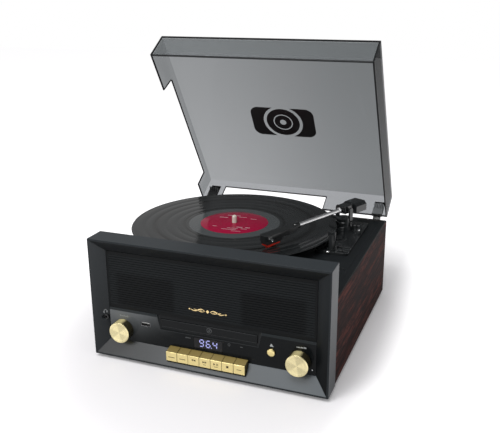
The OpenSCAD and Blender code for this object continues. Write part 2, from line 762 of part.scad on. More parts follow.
// Plate with two line sockets and the power inlet
module rear_sockets() color(black) translate([socket_x, rear_y, socket_z]) {
  difference() {
    union() {
      upright(-rear_t, 0) round_rect(socket_w, socket_h, 3);
      upright(-rear_t - 3, -rear_t) round_rect(socket_w + 12, socket_h + 12, 3);
      upright(-rear_t - 20, -rear_t - 3) translate([inlet_x, 0]) round_rect(22, 16, 2);
    }
    upright(-rear_t - 18, 1) translate([inlet_x, 0]) round_rect(15, 8.2, 4);
  }
  for (x = [-4, 4]) translate([inlet_x + x, 0, 0]) bar_y(1.1, -rear_t - 18.5, -rear_t - 4.5);
  // line sockets: a collar on a base ring, and the insulated middle contact
  for (x = line_x) translate([x, 0, 0]) {
    difference() {
      union() {
        bar_y(line_r, -eps, line_len);
        bar_y(line_r + 1.45, -eps, 1.6);
      }
      bar_y(line_r - 0.95, 1, line_len + 1);
    }
    difference() {
      bar_y(2.4, 0.9, line_len - 1.4);
      bar_y(1.6, 1.6, line_len + 1);
    }
  }
}

// ---- Turntable

module top_deck() color(black) difference() {
  union() {
    block([-in_x, bezel_back, under_z], [in_x, in_y, deck_z]);
    // raised ring that hides the platter's skirt
    translate([platter_x, platter_y, deck_z - eps]) difference() {
      cylinder(r = platter_r + 6, h = 1.5, $fn = 96);
      translate([0, 0, -1]) cylinder(r = platter_r + 3, h = 4, $fn = 96);
    }
    for (x = [-1, 1]) translate([x * (in_x - 7.3), bezel_back + 86, deck_z - eps])
      rotate_extrude() polygon([[0, 0], [3, 0], [2.4, 1.8], [0, 2.2]]);
  }
  translate([platter_x, platter_y, under_z - 1]) cylinder(r = spindle_r + 1.5, h = deck_t + 2);
  translate([platter_x, platter_y, 0]) rotate([0, 0, pulley_dir]) translate([pulley_x, 0, under_z - 1])
    cylinder(r = pulley_r + 3, h = deck_t + 2);
  translate([pivot_x, pivot_y, under_z - 1]) cylinder(r = 5, h = deck_t + 2);
}

// Pressed platter with a skirt, and a ring inside it for the belt
module platter() color(charcoal) translate([platter_x, platter_y, 0]) rotate_extrude($fn = 96)
  polygon([[spindle_r + run, deck_z + 1.2], [12, deck_z + 1.2], [12, plate_z],
    [drive_r - 3, plate_z], [drive_r - 3, platter_z], [drive_r, platter_z], [drive_r, plate_z],
    [platter_r - 3, plate_z], [platter_r - 2.4, platter_z], [platter_r, platter_z],
    [platter_r, mat_z - 1.5], [platter_r - 1.5, mat_z], [spindle_r + run, mat_z]]);

module slip_mat() color([0.14, 0.14, 0.15]) translate([platter_x, platter_y, mat_z])
  rotate_extrude($fn = 96) polygon([[spindle_r + 0.6, 0], [platter_r - 2, 0],
    [platter_r - 2, mat_t - 0.6], [platter_r - 2.6, mat_t], [label_r + 2, mat_t],
    [label_r + 1, mat_t - 0.6], [spindle_r + 2, mat_t - 0.6], [spindle_r + 2, mat_t],
    [spindle_r + 0.6, mat_t]]);

// Record: raised rim, grooved band and raised middle
module record() color([0.06, 0.06, 0.07]) translate([platter_x, platter_y, record_z])
  rotate_extrude($fn = 96) polygon([[spindle_r + run, 0], [record_r - 2, 0], [record_r - 0.6, 0.15],
    [record_r, record_t / 2], [record_r - 0.6, record_t - 0.15], [record_r - 2.2, record_t],
    [record_r - 4, record_t - 0.25], [label_r + 10, record_t - 0.25], [label_r + 8, record_t],
    [spindle_r + run, record_t]]);

module record_label() color([0.6, 0.08, 0.2]) translate([platter_x, platter_y, record_top])
  difference() {
    cylinder(r = label_r, h = label_t, $fn = 96);
    translate([0, 0, -1]) cylinder(r = spindle_r + run, h = 3);
  }

// Spindle with a flange that hangs it from the deck
module spindle() color(steel) translate([platter_x, platter_y, 0]) {
  top = record_top + spindle_up;
  neck = record_top + label_t - 0.2;
  rotate_extrude() polygon([[0, under_z - 12], [spindle_r, under_z - 12], [spindle_r, neck],
    [spindle_r - 0.3, neck + 0.3], [spindle_r, neck + 0.6], [spindle_r, top - 2.5],
    [spindle_r - 0.8, top - 0.8], [spindle_r - 2, top], [0, top]]);
  difference() {
    translate([0, 0, under_z - 3]) cylinder(r = 18, h = 3);
    translate([0, 0, under_z - 4]) cylinder(r = spindle_r - eps, h = 3 + 2 * eps);
  }
  translate([0, 0, under_z - 12]) cylinder(r = spindle_r + 3, h = 9 + eps);
  translate([0, 0, under_z - eps]) cylinder(r = spindle_r + 1.2, h = deck_t + 0.9 + eps);
}

module at_pulley() translate([platter_x, platter_y, 0]) rotate([0, 0, pulley_dir])
  translate([pulley_x, 0, 0]) children();

module platter_motor() color(steel) at_pulley() difference() {
  union() {
    translate([0, 0, under_z - 2 - motor_h]) cylinder(r = motor_r, h = motor_h);
    translate([0, 0, under_z - 2 - eps]) cylinder(r = motor_r + 5, h = 2 + eps);
  }
  translate([0, 0, under_z - 8]) cylinder(r = 1 + run, h = 10);
}

module motor_pulley() color([0.85, 0.82, 0.7]) at_pulley() rotate_extrude()
  polygon([[0, under_z - 7], [1, under_z - 7], [1, belt_z - 1.5], [pulley_r + 1, belt_z - 1.5],
    [pulley_r + 1, belt_z - 0.6], [pulley_r, belt_z - 0.2], [pulley_r, belt_z + belt_h + 0.1],
    [pulley_r - 1, belt_z + belt_h + 0.4], [0, belt_z + belt_h + 0.4]]);

// Rubber belt round the drive ring and the pulley
module drive_belt() color([0.1, 0.1, 0.1])
  translate([platter_x, platter_y, belt_z]) rotate([0, 0, pulley_dir]) linear_extrude(belt_h - 0.6)
    difference() {
      hull() {
        circle(drive_r + clear + belt_t, $fn = 96);
        translate([pulley_x, 0]) circle(pulley_r + clear + belt_t, $fn = 32);
      }
      hull() {
        circle(drive_r + clear, $fn = 96);
        translate([pulley_x, 0]) circle(pulley_r + clear, $fn = 32);
      }
    }

// ---- Tonearm

// Places its children in the arm's frame: pivot at the origin, stylus towards -Y
module at_arm() translate([pivot_x, pivot_y, arm_z]) rotate([0, 0, -arm_yaw]) children();

slot_1 = [pivot_x + 20.5, pivot_y - 86.5];   // speed selector
slot_2 = [pivot_x + 23, pivot_y - 101.5];    // automatic stop
slot_w = 3.8;
speed_travel = 10;
stop_travel = 6;
base_w = 47;                             // arm base: a long plate and a wing under the tower
base_len = 140;
base_wing_w = 36;
base_wing_len = 66;
dial_r = 12;

module arm_base() color(black) difference() {
  union() {
    translate([pivot_x, pivot_y, deck_z]) {
      linear_extrude(arm_base_t) {
        translate([8, -37]) round_rect(base_w, base_len, 7);
        translate([-4, -2]) round_rect(base_wing_w, base_wing_len, 10);
      }
      rotate_extrude() polygon([[0, 0], [tower_r + 4, 0], [tower_r + 4, arm_base_t + 1.4],
        [tower_r + 0.6, arm_base_t + 3.4], [tower_r, arm_base_t + 4.4], [tower_r, tower_h - 1],
        [tower_r - 1, tower_h], [0, tower_h]]);
    }
    translate([cue_x, cue_y, deck_z]) cylinder(r = cue_r + 1.7, h = 13);
    // ears for the cueing lever
    for (x = [-11.5, -6]) translate([lever_x + x, lever_y, 0])
      block([0, -3.5, arm_base_z - eps], [2, 3.5, lever_z + 3.5]);
    // scale dial beside the tower: a raised ring round a raised disc
    translate([pivot_x + 4, pivot_y - 52, arm_base_z - eps]) {
      difference() {
        cylinder(r = dial_r, h = 1.2);
        translate([0, 0, -1]) cylinder(r = dial_r - 2.4, h = 4);
      }
      cylinder(r = dial_r - 5, h = 2);
    }
  }
  translate([pivot_x, pivot_y, deck_z + 1]) cylinder(r = yoke_shaft_r + run, h = 20);
  translate([cue_x, cue_y, arm_base_z]) cylinder(r = cue_r + run, h = 20);
  translate([lever_x, lever_y, lever_z]) bar_x(1.6 + run, -13, -2);
  for (s = [[slot_1, speed_travel + 4], [slot_2, stop_travel + 4]])
    translate([s[0][0], s[0][1], deck_z + 1]) linear_extrude(10) round_rect(s[1] + slot_w, slot_w, 1.2);
}

module arm_yoke() color(charcoal) translate([pivot_x, pivot_y, 0]) rotate([0, 0, -arm_yaw]) {
  translate([0, 0, deck_z + 2]) cylinder(r = yoke_shaft_r, h = yoke_z - deck_z);
  translate([0, 0, yoke_z]) cylinder(r = tower_r - 0.5, h = yoke_t);
  for (x = [-1, 1]) {
    translate([x > 0 ? yoke_x : -yoke_x - cheek_t, 0, 0]) {
      block([0, -3.5, cheek_z], [cheek_t, 3.5, arm_z]);
      translate([0, 0, arm_z]) bar_x(3.5, 0, cheek_t);
    }
    block([x > 0 ? 5 : -yoke_x - cheek_t, -3.5, cheek_z],
          [x > 0 ? yoke_x + cheek_t : -5, 3.5, yoke_z + yoke_t]);
    translate([x > 0 ? 5 : -yoke_x - 1, 0, arm_z]) bar_x(pivot_pin_r, 0, yoke_x - 4);
  }
}

module arm_tube() color(black) at_arm() difference() {
  union() {
    // bearing block and the angular counterweight behind it
    block([-block_w / 2, -8, -5.5], [block_w / 2, 9, 5.5]);
    block([-5, 8, -5], [5, 14, 5]);
    upright(13, 38) polygon([[-13, -7.5], [13, -7.5], [13, 2.5], [9, 6.9], [-9, 6.9], [-13, 2.5]]);
    bar_y(tube_r + 1.6, -13, -7);
    bar_y(tube_r, -arm_len + 58, -12);
  }
  for (x = [-1, 1]) bar_x(pivot_pin_r + run, x > 0 ? 4.6 : -block_w / 2 - 1,
    x > 0 ? block_w / 2 + 1 : -4.6);
}

// Slim head: tapered sides, a collar on the tube and a finger lift
module headshell() color(black) at_arm() {
  back = -arm_len + 66;
  front = -arm_len - 6;
  half = shell_w / 2;
  difference() {
    union() {
      translate([0, 0, shell_low]) linear_extrude(shell_t)
        polygon([[-5, back - 6], [-half, back - 22], [-half, front + 3], [3 - half, front],
                 [half - 3, front], [half, front + 3], [half, back - 22], [5, back - 6]]);
      bar_y(tube_r + 1.5, back - 8, back);
    }
    bar_y(tube_r, -arm_len + 58, back + 1);
  }
  translate([half, front + 8, -2]) linear_extrude(1.4)
    polygon([[-1, -4], [5, -5], [9, -8], [10.5, -7], [7, -2.5], [-1, 3]]);
}

// Cartridge body under the head
module cartridge() color([0.15, 0.15, 0.16]) at_arm() {
  low = shell_low - cart_h;
  sideways(-5, 5) polygon([[-arm_len - 4, shell_low], [-arm_len - 4, low + 2], [-arm_len - 2, low],
    [-arm_len + 26, low], [-arm_len + 29, low + 3], [-arm_len + 29, shell_low]]);
}

// Stylus assembly: a wedge with the tip under its front end
module stylus() color([0.85, 0.15, 0.1]) at_arm() {
  top = shell_low - cart_h;
  low = record_top + clear - arm_z;
  sideways(-4.2, 4.2) polygon([[-arm_len - 3.5, top], [-arm_len + 1, low + 1.6],
    [-arm_len + 24, top - 2.2], [-arm_len + 24, top]]);
  translate([0, -arm_len + 1, low]) cylinder(r1 = 0.25, r2 = 0.7, h = 2.2);
}

// Arm rest: post with a low saddle, its chrome catch swung open
module arm_rest() color(black) translate([rest_x, rest_y, arm_base_z]) {
  top = arm_z - tube_r - 0.4 - arm_base_z;
  difference() {
    union() {
      cylinder(r = 4.4, h = top - 4);
      translate([0, 0, top - 5]) linear_extrude(5) round_rect(11, 6, 2);
      cylinder(r = 6, h = 1.6);
    }
    translate([0, 0, top + tube_r - 1]) bar_y(tube_r, -5, 5);
  }
  translate([5.4, 0, top - 12]) rotate([0, 0, -30]) {
    translate([0, -2, 0]) cylinder(r = 1.4, h = 8);
    translate([-1, -2.9, 6]) cube([2, 2.9, 2]);
  }
}

module cue_arc(r0, r1, h) rotate([0, 0, -90 - 50]) rotate_extrude(angle = 75)
  translate([r0, 0]) square([r1 - r0, h]);

// Lifter: a post with an arc-shaped rest under the arm
module cue_lift() color(black) {
  translate([cue_x, cue_y, arm_base_z + 1]) cylinder(r = cue_r, h = cue_top - arm_base_z - 2);
  translate([pivot_x, pivot_y, cue_top - 3]) cue_arc(20.5, 23.5, 3);
}

// Cueing lever on a cross shaft, its tip towards the front
module cue_lever() color(black) translate([lever_x, lever_y, lever_z]) {
  bar_x(1.6, -12.5, 2);
  sideways(0, 3) {
    circle(3);
    polygon([[1, 3], [-14, 0.6], [-15.5, -0.8], [-15, -2.2], [0, -3]]);
  }
}

// A switch knob with a stem down into its slot
module switch_knob(at, w) translate([at[0], at[1], 0]) {
  translate([0, 0, arm_base_z + clear]) sideways(-w / 2, w / 2)
    polygon([[-2.6, 0], [2.6, 0], [2.2, 2.6], [-2.2, 2.6]]);
  block([-1.4, -1.4, deck_z + 1.4], [1.4, 1.4, arm_base_z + clear + eps]);
}

module speed_selector() color(charcoal) switch_knob(slot_1 - [speed_travel / 2, 0], 6);
module stop_switch() color(charcoal) switch_knob(slot_2 - [stop_travel / 2, 0], 6);

// ---- Lid

module opened() translate([0, hinge_y, hinge_z]) rotate([-lid_open, 0, 0])
  translate([0, -hinge_y, -hinge_z]) children();

notch_y0 = platter_y - 100;              // front end of the cut-out in the left wall
notch_y1 = platter_y + 102;
notch_x0 = platter_x - 84;               // left end of the cut-out in the rear wall
notch_x1 = platter_x + 94;

module lid() color(smoke) opened() difference() {
  block([-lid_x, lid_front, lid_z], [lid_x, lid_rear, lid_top]);
  block([-lid_x + lid_t, lid_front + lid_t, lid_z - 1],
    [lid_x - lid_t, lid_rear - lid_t, lid_top - lid_t]);
  sideways(-lid_x - 1, -lid_x + lid_t + 1)
    polygon([[notch_y0, lid_z - 1], [notch_y0 + 3, lid_z + notch_h], [notch_y1, lid_z + notch_h],
      [notch_y1, lid_z - 1]]);
  block([notch_x0, lid_rear - lid_t - 1, lid_z - 1], [notch_x1, lid_rear + 1, lid_z + notch_h]);
}

module at_hinges() for (x = [-hinge_x, hinge_x]) translate([x, 0, 0]) children();

module hinge_moving() color(steel) opened() at_hinges() difference() {
  union() {
    block([-leaf_w / 2, lid_rear, lid_z + 1.4], [leaf_w / 2, lid_rear + leaf_t, lid_z + 30]);
    sideways(-barrel_w / 2, barrel_w / 2) {
      translate([hinge_y, hinge_z]) circle(barrel_r);
      polygon([[lid_rear, lid_z + 1.4], [lid_rear + 1.6, lid_z + 1.4], [hinge_y - 2.6, hinge_z + 2.2],
        [hinge_y + 2.4, hinge_z + 2.4], [lid_rear + 3, lid_z + 5], [lid_rear, lid_z + 7]]);
    }
  }
  translate([0, hinge_y, hinge_z]) bar_x(hinge_pin_r + run, -leaf_w, leaf_w);
}

module hinge_fixed() color(steel) at_hinges() {
  for (s = [-1, 1]) difference() {
    sideways(s > 0 ? barrel_w / 2 + clear : -barrel_w / 2 - clear - 5,
      s > 0 ? barrel_w / 2 + clear + 5 : -barrel_w / 2 - clear) {
      translate([hinge_y, hinge_z]) circle(barrel_r);
      polygon([[rear_y, hinge_z - 8], [rear_y + leaf_t, hinge_z - 8], [hinge_y + 1.4, hinge_z - 3],
        [hinge_y - 2, hinge_z + 2.4], [rear_y, hinge_z - 1]]);
    }
    translate([0, hinge_y, hinge_z]) bar_x(hinge_pin_r, -20, 20);
  }
  block([-barrel_w / 2 - clear - 5, rear_y, hinge_z - 26],
    [barrel_w / 2 + clear + 5, rear_y + leaf_t, hinge_z - 7]);
}

module hinge_pins() color(steel) at_hinges()
  translate([0, hinge_y, hinge_z]) bar_x(hinge_pin_r, -barrel_w / 2 - 6, barrel_w / 2 + 6);

left_side();
right_side();
rear_board();
base_board();
feet();
top_deck();
front_bezel();
speaker_baffle();
speaker_grille();
speakers();
control_panel();
display_window();
display_module();
control_board();
rotary_controls();
tuning_knob();
volume_knob();
eject_button();
usb_socket();
headphone_socket();
key_frame();
key_shaft();
key_switches();
key_1();
key_2();
key_3();
key_4();
key_5();
key_6();
key_7();
disc_loader();
disc_tray();
disc_hub();
laser_sled();
main_board();
power_supply();
rear_sockets();
platter();
slip_mat();
record();
record_label();
spindle();
platter_motor();
motor_pulley();
drive_belt();
arm_base();
arm_yoke();
arm_tube();
headshell();
cartridge();
stylus();
arm_rest();
cue_lever();
cue_lift();
speed_selector();
stop_switch();
lid();
hinge_fixed();
hinge_moving();
hinge_pins();
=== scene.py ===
import json
import bpy
import bmesh
from math import sin, cos, pi, radians, degrees, tau, hypot, atan2
from mathutils import Vector, Matrix


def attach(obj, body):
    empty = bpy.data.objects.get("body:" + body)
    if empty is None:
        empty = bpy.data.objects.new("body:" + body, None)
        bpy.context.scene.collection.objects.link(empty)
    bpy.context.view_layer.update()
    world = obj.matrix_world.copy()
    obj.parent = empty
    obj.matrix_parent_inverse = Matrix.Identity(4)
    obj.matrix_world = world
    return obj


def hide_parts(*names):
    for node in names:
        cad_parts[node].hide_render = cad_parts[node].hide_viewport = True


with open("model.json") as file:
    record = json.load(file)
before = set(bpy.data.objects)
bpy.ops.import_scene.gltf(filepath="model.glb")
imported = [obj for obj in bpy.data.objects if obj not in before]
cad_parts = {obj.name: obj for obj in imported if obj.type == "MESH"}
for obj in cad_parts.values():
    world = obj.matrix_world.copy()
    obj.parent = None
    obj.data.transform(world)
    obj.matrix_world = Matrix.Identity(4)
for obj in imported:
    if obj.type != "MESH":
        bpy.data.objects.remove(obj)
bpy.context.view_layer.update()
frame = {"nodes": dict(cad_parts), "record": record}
cadNodes = frame["nodes"]
scene = bpy.context.scene
scene.view_settings.view_transform = "Standard"
mm = 0.001


def vec(*values):
    # millimetres to metres
    return Vector(values) * mm


def addObject(name, data):
    obj = bpy.data.objects.new(name, data)
    scene.collection.objects.link(obj)
    return obj


# Node helpers. Each works in the tree of the socket it is given.

def addNode(tree, kind, inputs=None, **settings):
    # an input is a plain value or a socket to link
    node = tree.nodes.new(kind)
    for key, value in settings.items():
        setattr(node, key, value)
    for key, value in (inputs or {}).items():
        if isinstance(value, bpy.types.NodeSocket):
            tree.links.new(value, node.inputs[key])
        else:
            node.inputs[key].default_value = value
    return node


def feed(value, socket):
    socket.id_data.links.new(value, socket)


def maths(operation, a, b=0.0):
    tree = (a if isinstance(a, bpy.types.NodeSocket) else b).id_data
    return addNode(tree, "ShaderNodeMath", {0: a, 1: b}, operation=operation).outputs[0]


def times(a, b):
    return maths("MULTIPLY", a, b)


def invert(value):
    return maths("SUBTRACT", 1.0, value)


def vectorMaths(operation, a, b=(0, 0, 0)):
    return addNode(a.id_data, "ShaderNodeVectorMath", {0: a, 1: b}, operation=operation).outputs


def axes(vector):
    return addNode(vector.id_data, "ShaderNodeSeparateXYZ", {0: vector}).outputs


def combine(parts):
    # a vector from sockets, keyed by axis
    tree = next(iter(parts.values())).id_data
    return addNode(tree, "ShaderNodeCombineXYZ", parts).outputs[0]


def mapped(value, toLow, toHigh, low=0.0, high=1.0, **settings):
    return addNode(value.id_data, "ShaderNodeMapRange", {
        "Value": value, "From Min": low, "From Max": high, "To Min": toLow, "To Max": toHigh},
        **settings).outputs[0]


def fade(value, low, high, toLow=0.0, toHigh=1.0):
    # a soft step as the value goes from low to high
    return mapped(value, toLow, toHigh, low, high, interpolation_type="SMOOTHSTEP")


def noise(vector, scale, detail=2.0, roughness=0.5):
    return addNode(vector.id_data, "ShaderNodeTexNoise", {
        "Vector": vector, "Scale": scale, "Detail": detail, "Roughness": roughness}).outputs


def blend(amount, first, second):
    mix = addNode(amount.id_data, "ShaderNodeMix", {"Factor": amount}, data_type="RGBA")
    for key, value in (("A", first), ("B", second)):
        socket = next(s for s in mix.inputs if s.name == key and s.type == "RGBA")
        if isinstance(value, bpy.types.NodeSocket):
            feed(value, socket)
        else:
            socket.default_value = (*value, 1)
    return next(s for s in mix.outputs if s.type == "RGBA")


def partsOf(mat):
    # a finish's shader inputs and its Object coordinates
    nodes = mat.node_tree.nodes
    return nodes["Principled BSDF"].inputs, nodes["Texture Coordinate"].outputs["Object"]


def newFinish(name, color, values=None):
    mat = bpy.data.materials.new(name)
    mat.use_nodes = True
    addNode(mat.node_tree, "ShaderNodeTexCoord")
    shader, place = partsOf(mat)
    shader["Base Color"].default_value = (*color, 1)
    for key, value in (values or {}).items():
        shader[key].default_value = value
    return mat, shader, place


# Camera, light and floor

view = {"place": (338.75, -879.9, 472.8), "azimuth": 21.22, "elevation": 18.13, "roll": -0.36,
        "lens": 50.67}


def addCamera():
    az, el, roll = (radians(view[key]) for key in ("azimuth", "elevation", "roll"))
    forward = Vector((-sin(az) * cos(el), cos(az) * cos(el), -sin(el)))
    level = Vector((cos(az), sin(az), 0))
    up = level.cross(forward)
    right = level * cos(roll) + up * sin(roll)
    up = up * cos(roll) - level * sin(roll)
    data = bpy.data.cameras.new("camera")
    data.lens = view["lens"]
    data.clip_start = 0.01
    scene.camera = addObject("camera", data)
    turn = Matrix((right, up, -forward)).transposed().to_4x4()
    scene.camera.matrix_world = Matrix.Translation(vec(*view["place"])) @ turn


# A lamp has its place, its width and its power
light = {"world": 0.42, "aim": (0, 0, 0.12),
         "lamps": {"key": ((-0.1, -1.05, 1.9), 1.2, 24), "front": ((-0.8, -1.85, 1.13), 0.9, 12)}}


def seenRay(path, limit):
    # straight from the camera or through glass; the world counts one bounce more than a surface does
    turns = maths("SUBTRACT", path["Ray Depth"], path["Transmission Depth"])
    through = times(path["Is Transmission Ray"], maths("LESS_THAN", turns, limit))
    return maths("MAXIMUM", path["Is Camera Ray"], through)


def addWorld():
    # white where it is seen, darker where it only lights the scene
    world = bpy.data.worlds.new("studio")
    world.use_nodes = True
    tree = world.node_tree
    tree.nodes.clear()
    seen = seenRay(addNode(tree, "ShaderNodeLightPath").outputs, 1.5)
    back = addNode(tree, "ShaderNodeBackground", {
        "Color": (1, 1, 1, 1), "Strength": maths("MAXIMUM", seen, light["world"])})
    addNode(tree, "ShaderNodeOutputWorld", {0: back.outputs[0]})
    scene.world = world


def addLamp(name, place, size, power):
    data = bpy.data.lights.new(name, "AREA")
    data.shape = "DISK"
    data.size = size
    data.energy = power
    aim = (Vector(light["aim"]) - Vector(place)).to_track_quat("-Z", "Y").to_matrix().to_4x4()
    addObject(name, data).matrix_world = Matrix.Translation(place) @ aim


floorLook = {"half": 4.0, "seen": (0.86, 0.847, 0.866), "unseen": (0.42, 0.42, 0.42), "nearLift": 0.1,
             "farLift": 0.62, "near": 0.2, "far": 0.38, "stretch": (1.0, 0.72, 1.0),
             "rightFrom": 0.165, "rightward": 1.9}


def addFloor():
    mat, shader, place = newFinish("floor", floorLook["seen"], {
        "Roughness": 0.9, "Specular IOR Level": 0.0, "Emission Color": (1, 1, 1, 1)})
    path = addNode(mat.node_tree, "ShaderNodeLightPath").outputs
    either = maths("MAXIMUM", seenRay(path, 0.5), maths("MINIMUM", path["Glossy Depth"], 1.0))
    feed(blend(either, floorLook["unseen"], floorLook["seen"]), shader["Base Color"])
    # the lift grows away from the object, so its shadow stays and the far floor meets the white world
    away = vectorMaths("LENGTH", vectorMaths("MULTIPLY", place, floorLook["stretch"])[0])["Value"]
    # to the right of the object the lift grows faster: painted light that thins its shadow there
    right = maths("MAXIMUM", maths("SUBTRACT", axes(place)["X"], floorLook["rightFrom"]), 0.0)
    reach = maths("ADD", away, times(right, floorLook["rightward"]))
    lift = fade(reach, floorLook["near"], floorLook["far"], floorLook["nearLift"], floorLook["farLift"])
    feed(times(either, lift), shader["Emission Strength"])
    mesh = bpy.data.meshes.new("floor")
    half = floorLook["half"]
    mesh.from_pydata([(-half, -half, 0), (half, -half, 0), (half, half, 0), (-half, half, 0)], [],
                     [(0, 1, 2, 3)])
    mesh.materials.append(mat)
    addObject("floor", mesh)


addCamera()
addWorld()
for name, row in light["lamps"].items():
    addLamp(name, *row)
addFloor()
print("camera, light and floor are set")


# Shader groups that several finishes share

def newGroup(name, inputs, outputs, kind="ShaderNodeTree", outKind="Float"):
    # an input is keyed by its label and has a number, or the name of another kind of socket
    group = bpy.data.node_groups.new(name, kind)
    for label, value in inputs.items():
        socketKind = {float: "Float", int: "Int"}.get(type(value), value)
        socket = group.interface.new_socket(label, in_out="INPUT", socket_type="NodeSocket" + socketKind)
        if socketKind != value:
            socket.default_value = value
    for label in outputs:
        group.interface.new_socket(label, in_out="OUTPUT", socket_type="NodeSocket" + outKind)
    return group, group.nodes.new("NodeGroupInput").outputs, group.nodes.new("NodeGroupOutput").inputs


# Moulded grain: a fine noise for the skin and a slow one for handling marks
def makeGrainGroup():
    group, given, out = newGroup("mouldedGrain", {
        "Vector": "Vector", "Grain Size": 2500.0, "Base Roughness": 0.4, "Roughness Spread": 0.1},
        ["Grain", "Roughness", "Cloud"])
    slow = noise(given["Vector"], 14.0, 5.0, 0.62)["Fac"]
    uneven = times(maths("SUBTRACT", slow, 0.5), given["Roughness Spread"])
    feed(noise(given["Vector"], given["Grain Size"])["Fac"], out["Grain"])
    feed(maths("ADD", given["Base Roughness"], uneven), out["Roughness"])
    feed(slow, out["Cloud"])
    return group


# Turned or pressed rings round the Z axis of the vector it is given
def makeRingGroup():
    group, given, out = newGroup("turnedRings", {"Vector": "Vector", "Rings Per Metre": 1000.0},
                                 ["Ring", "Radius", "Uneven"])
    radius = vectorMaths("LENGTH", vectorMaths("MULTIPLY", given["Vector"], (1, 1, 0))[0])["Value"]
    count = times(radius, given["Rings Per Metre"])
    uneven = addNode(group, "ShaderNodeTexNoise", {"W": count, "Scale": 0.35, "Detail": 3.0},
                     noise_dimensions="1D")
    feed(maths("SINE", times(count, tau)), out["Ring"])
    feed(radius, out["Radius"])
    feed(uneven.outputs["Fac"], out["Uneven"])
    return group


# Brush marks along X of the vector it is given
def makeBrushGroup():
    group, given, out = newGroup("brushMarks", {"Vector": "Vector", "Fineness": 3000.0}, ["Mark"])
    stretched = vectorMaths("MULTIPLY", given["Vector"], (0.02, 1, 1))[0]
    feed(noise(stretched, given["Fineness"], 3.0)["Fac"], out["Mark"])
    return group


grainGroup = makeGrainGroup()
ringGroup = makeRingGroup()
brushGroup = makeBrushGroup()


def useGroup(group, inputs):
    return addNode(inputs["Vector"].id_data, "ShaderNodeGroup", inputs, node_tree=group).outputs


# Finishes

def shaded(color, part):
    return tuple(c * part for c in color)


def bumpFrom(shader, height, strength, distance):
    bump = addNode(height.id_data, "ShaderNodeBump", {
        "Height": height, "Strength": strength, "Distance": distance})
    feed(bump.outputs[0], shader["Normal"])


def addSkin(shader, place, grain, roughness, spread):
    skin = useGroup(grainGroup, {"Vector": place, "Grain Size": grain, "Base Roughness": roughness,
                                 "Roughness Spread": spread})
    feed(skin["Roughness"], shader["Roughness"])
    return skin


def plastic(name, color, roughness, grain=2500.0, bump=0.08, spread=0.12, specular=0.4, tint=0.12):
    mat, shader, place = newFinish(name, color, {"Specular IOR Level": specular})
    skin = addSkin(shader, place, grain, roughness, spread)
    lighter = [min(1, c * (1 + tint) + 0.001) for c in color]
    feed(blend(skin["Cloud"], shaded(color, 1 - tint), lighter), shader["Base Color"])
    bumpFrom(shader, skin["Grain"], bump, 0.0002)
    return mat


def metal(name, color, roughness, along="X", fineness=2600.0, bump=0.12, tint=0.1):
    # brushed along one axis
    mat, shader, place = newFinish(name, color, {"Metallic": 1.0})
    turn = {"X": (0, 0, 0), "Y": (0, 0, pi / 2), "Z": (0, pi / 2, 0)}[along]
    lined = addNode(mat.node_tree, "ShaderNodeMapping", {"Vector": place, "Rotation": turn}).outputs[0]
    mark = useGroup(brushGroup, {"Vector": lined, "Fineness": fineness})["Mark"]
    feed(mapped(mark, roughness * 0.7, roughness * 1.3), shader["Roughness"])
    feed(blend(mark, shaded(color, 1 - tint), color), shader["Base Color"])
    bumpFrom(shader, mark, bump, 0.0001)
    return mat


# Metal turned on a lathe: rings round a centre, facing along Y, and soft fans of painted reflection in its
# colour
def spunMetal(name, look, centre):
    mat, shader, place = newFinish(name, look["color"], {"Metallic": look["metallic"]})
    fromCentre = vectorMaths("SUBTRACT", place, tuple(centre))[0]
    faced = addNode(mat.node_tree, "ShaderNodeMapping", {"Vector": fromCentre, "Rotation": (pi / 2, 0, 0)})
    ring = useGroup(ringGroup, {"Vector": faced.outputs[0], "Rings Per Metre": look["rings"]})
    feed(mapped(ring["Uneven"], look["roughness"] * 0.6, look["roughness"] * 1.4), shader["Roughness"])
    parts = axes(faced.outputs[0])
    angle = times(maths("ARCTAN2", parts["Y"], parts["X"]), look["fans"])
    # painted reflection: light and dark fans round the centre
    fanReflection = fade(maths("COSINE", maths("ADD", angle, look["turn"])), *look["edges"])
    ringed = blend(ring["Uneven"], shaded(look["color"], 0.84), look["color"])
    feed(blend(fanReflection, shaded(look["color"], look["depth"]), ringed), shader["Base Color"])
    bumpFrom(shader, ring["Ring"], look["bump"], 0.00006)
    return mat


wood = {"dark": (0.014, 0.009, 0.009), "mid": (0.052, 0.023, 0.021), "light": (0.2, 0.062, 0.05),
        "pore": (0.006, 0.004, 0.004), "streaks": 165.0, "clouds": 38.0, "pores": 700.0}


# Rosewood veneer: streaks run front to back, pores are short dark strokes
def rosewood():
    mat, shader, place = newFinish("rosewood", wood["mid"], {"Specular IOR Level": 0.008})
    long = vectorMaths("MULTIPLY", place, (1, 0.1, 1))[0]
    sway = vectorMaths("MULTIPLY", noise(long, 22.0, 4.0, 0.55)["Color"], (0.014, 0.014, 0.014))[0]
    swayed = vectorMaths("ADD", long, sway)[0]
    streaks = noise(swayed, wood["streaks"], 8.0, 0.75)["Fac"]
    ramp = addNode(mat.node_tree, "ShaderNodeValToRGB", {"Fac": streaks})
    stops = ramp.color_ramp.elements
    stops[0].position, stops[0].color = 0.41, (*wood["dark"], 1)
    stops[1].position, stops[1].color = 0.63, (*wood["light"], 1)
    stops.new(0.5).color = (*wood["mid"], 1)
    clouds = mapped(noise(swayed, wood["clouds"])["Fac"], 0.0, 0.7, 0.35, 0.65)
    streaked = blend(clouds, ramp.outputs["Color"], wood["dark"])
    short = vectorMaths("MULTIPLY", place, (1, 0.07, 1))[0]
    pores = mapped(noise(short, wood["pores"])["Fac"], 0.0, 0.85, 0.6, 0.7)
    feed(blend(pores, streaked, wood["pore"]), shader["Base Color"])
    feed(mapped(streaks, 0.42, 0.62), shader["Roughness"])
    bumpFrom(shader, times(pores, -1.0), 0.25, 0.0002)
    return mat


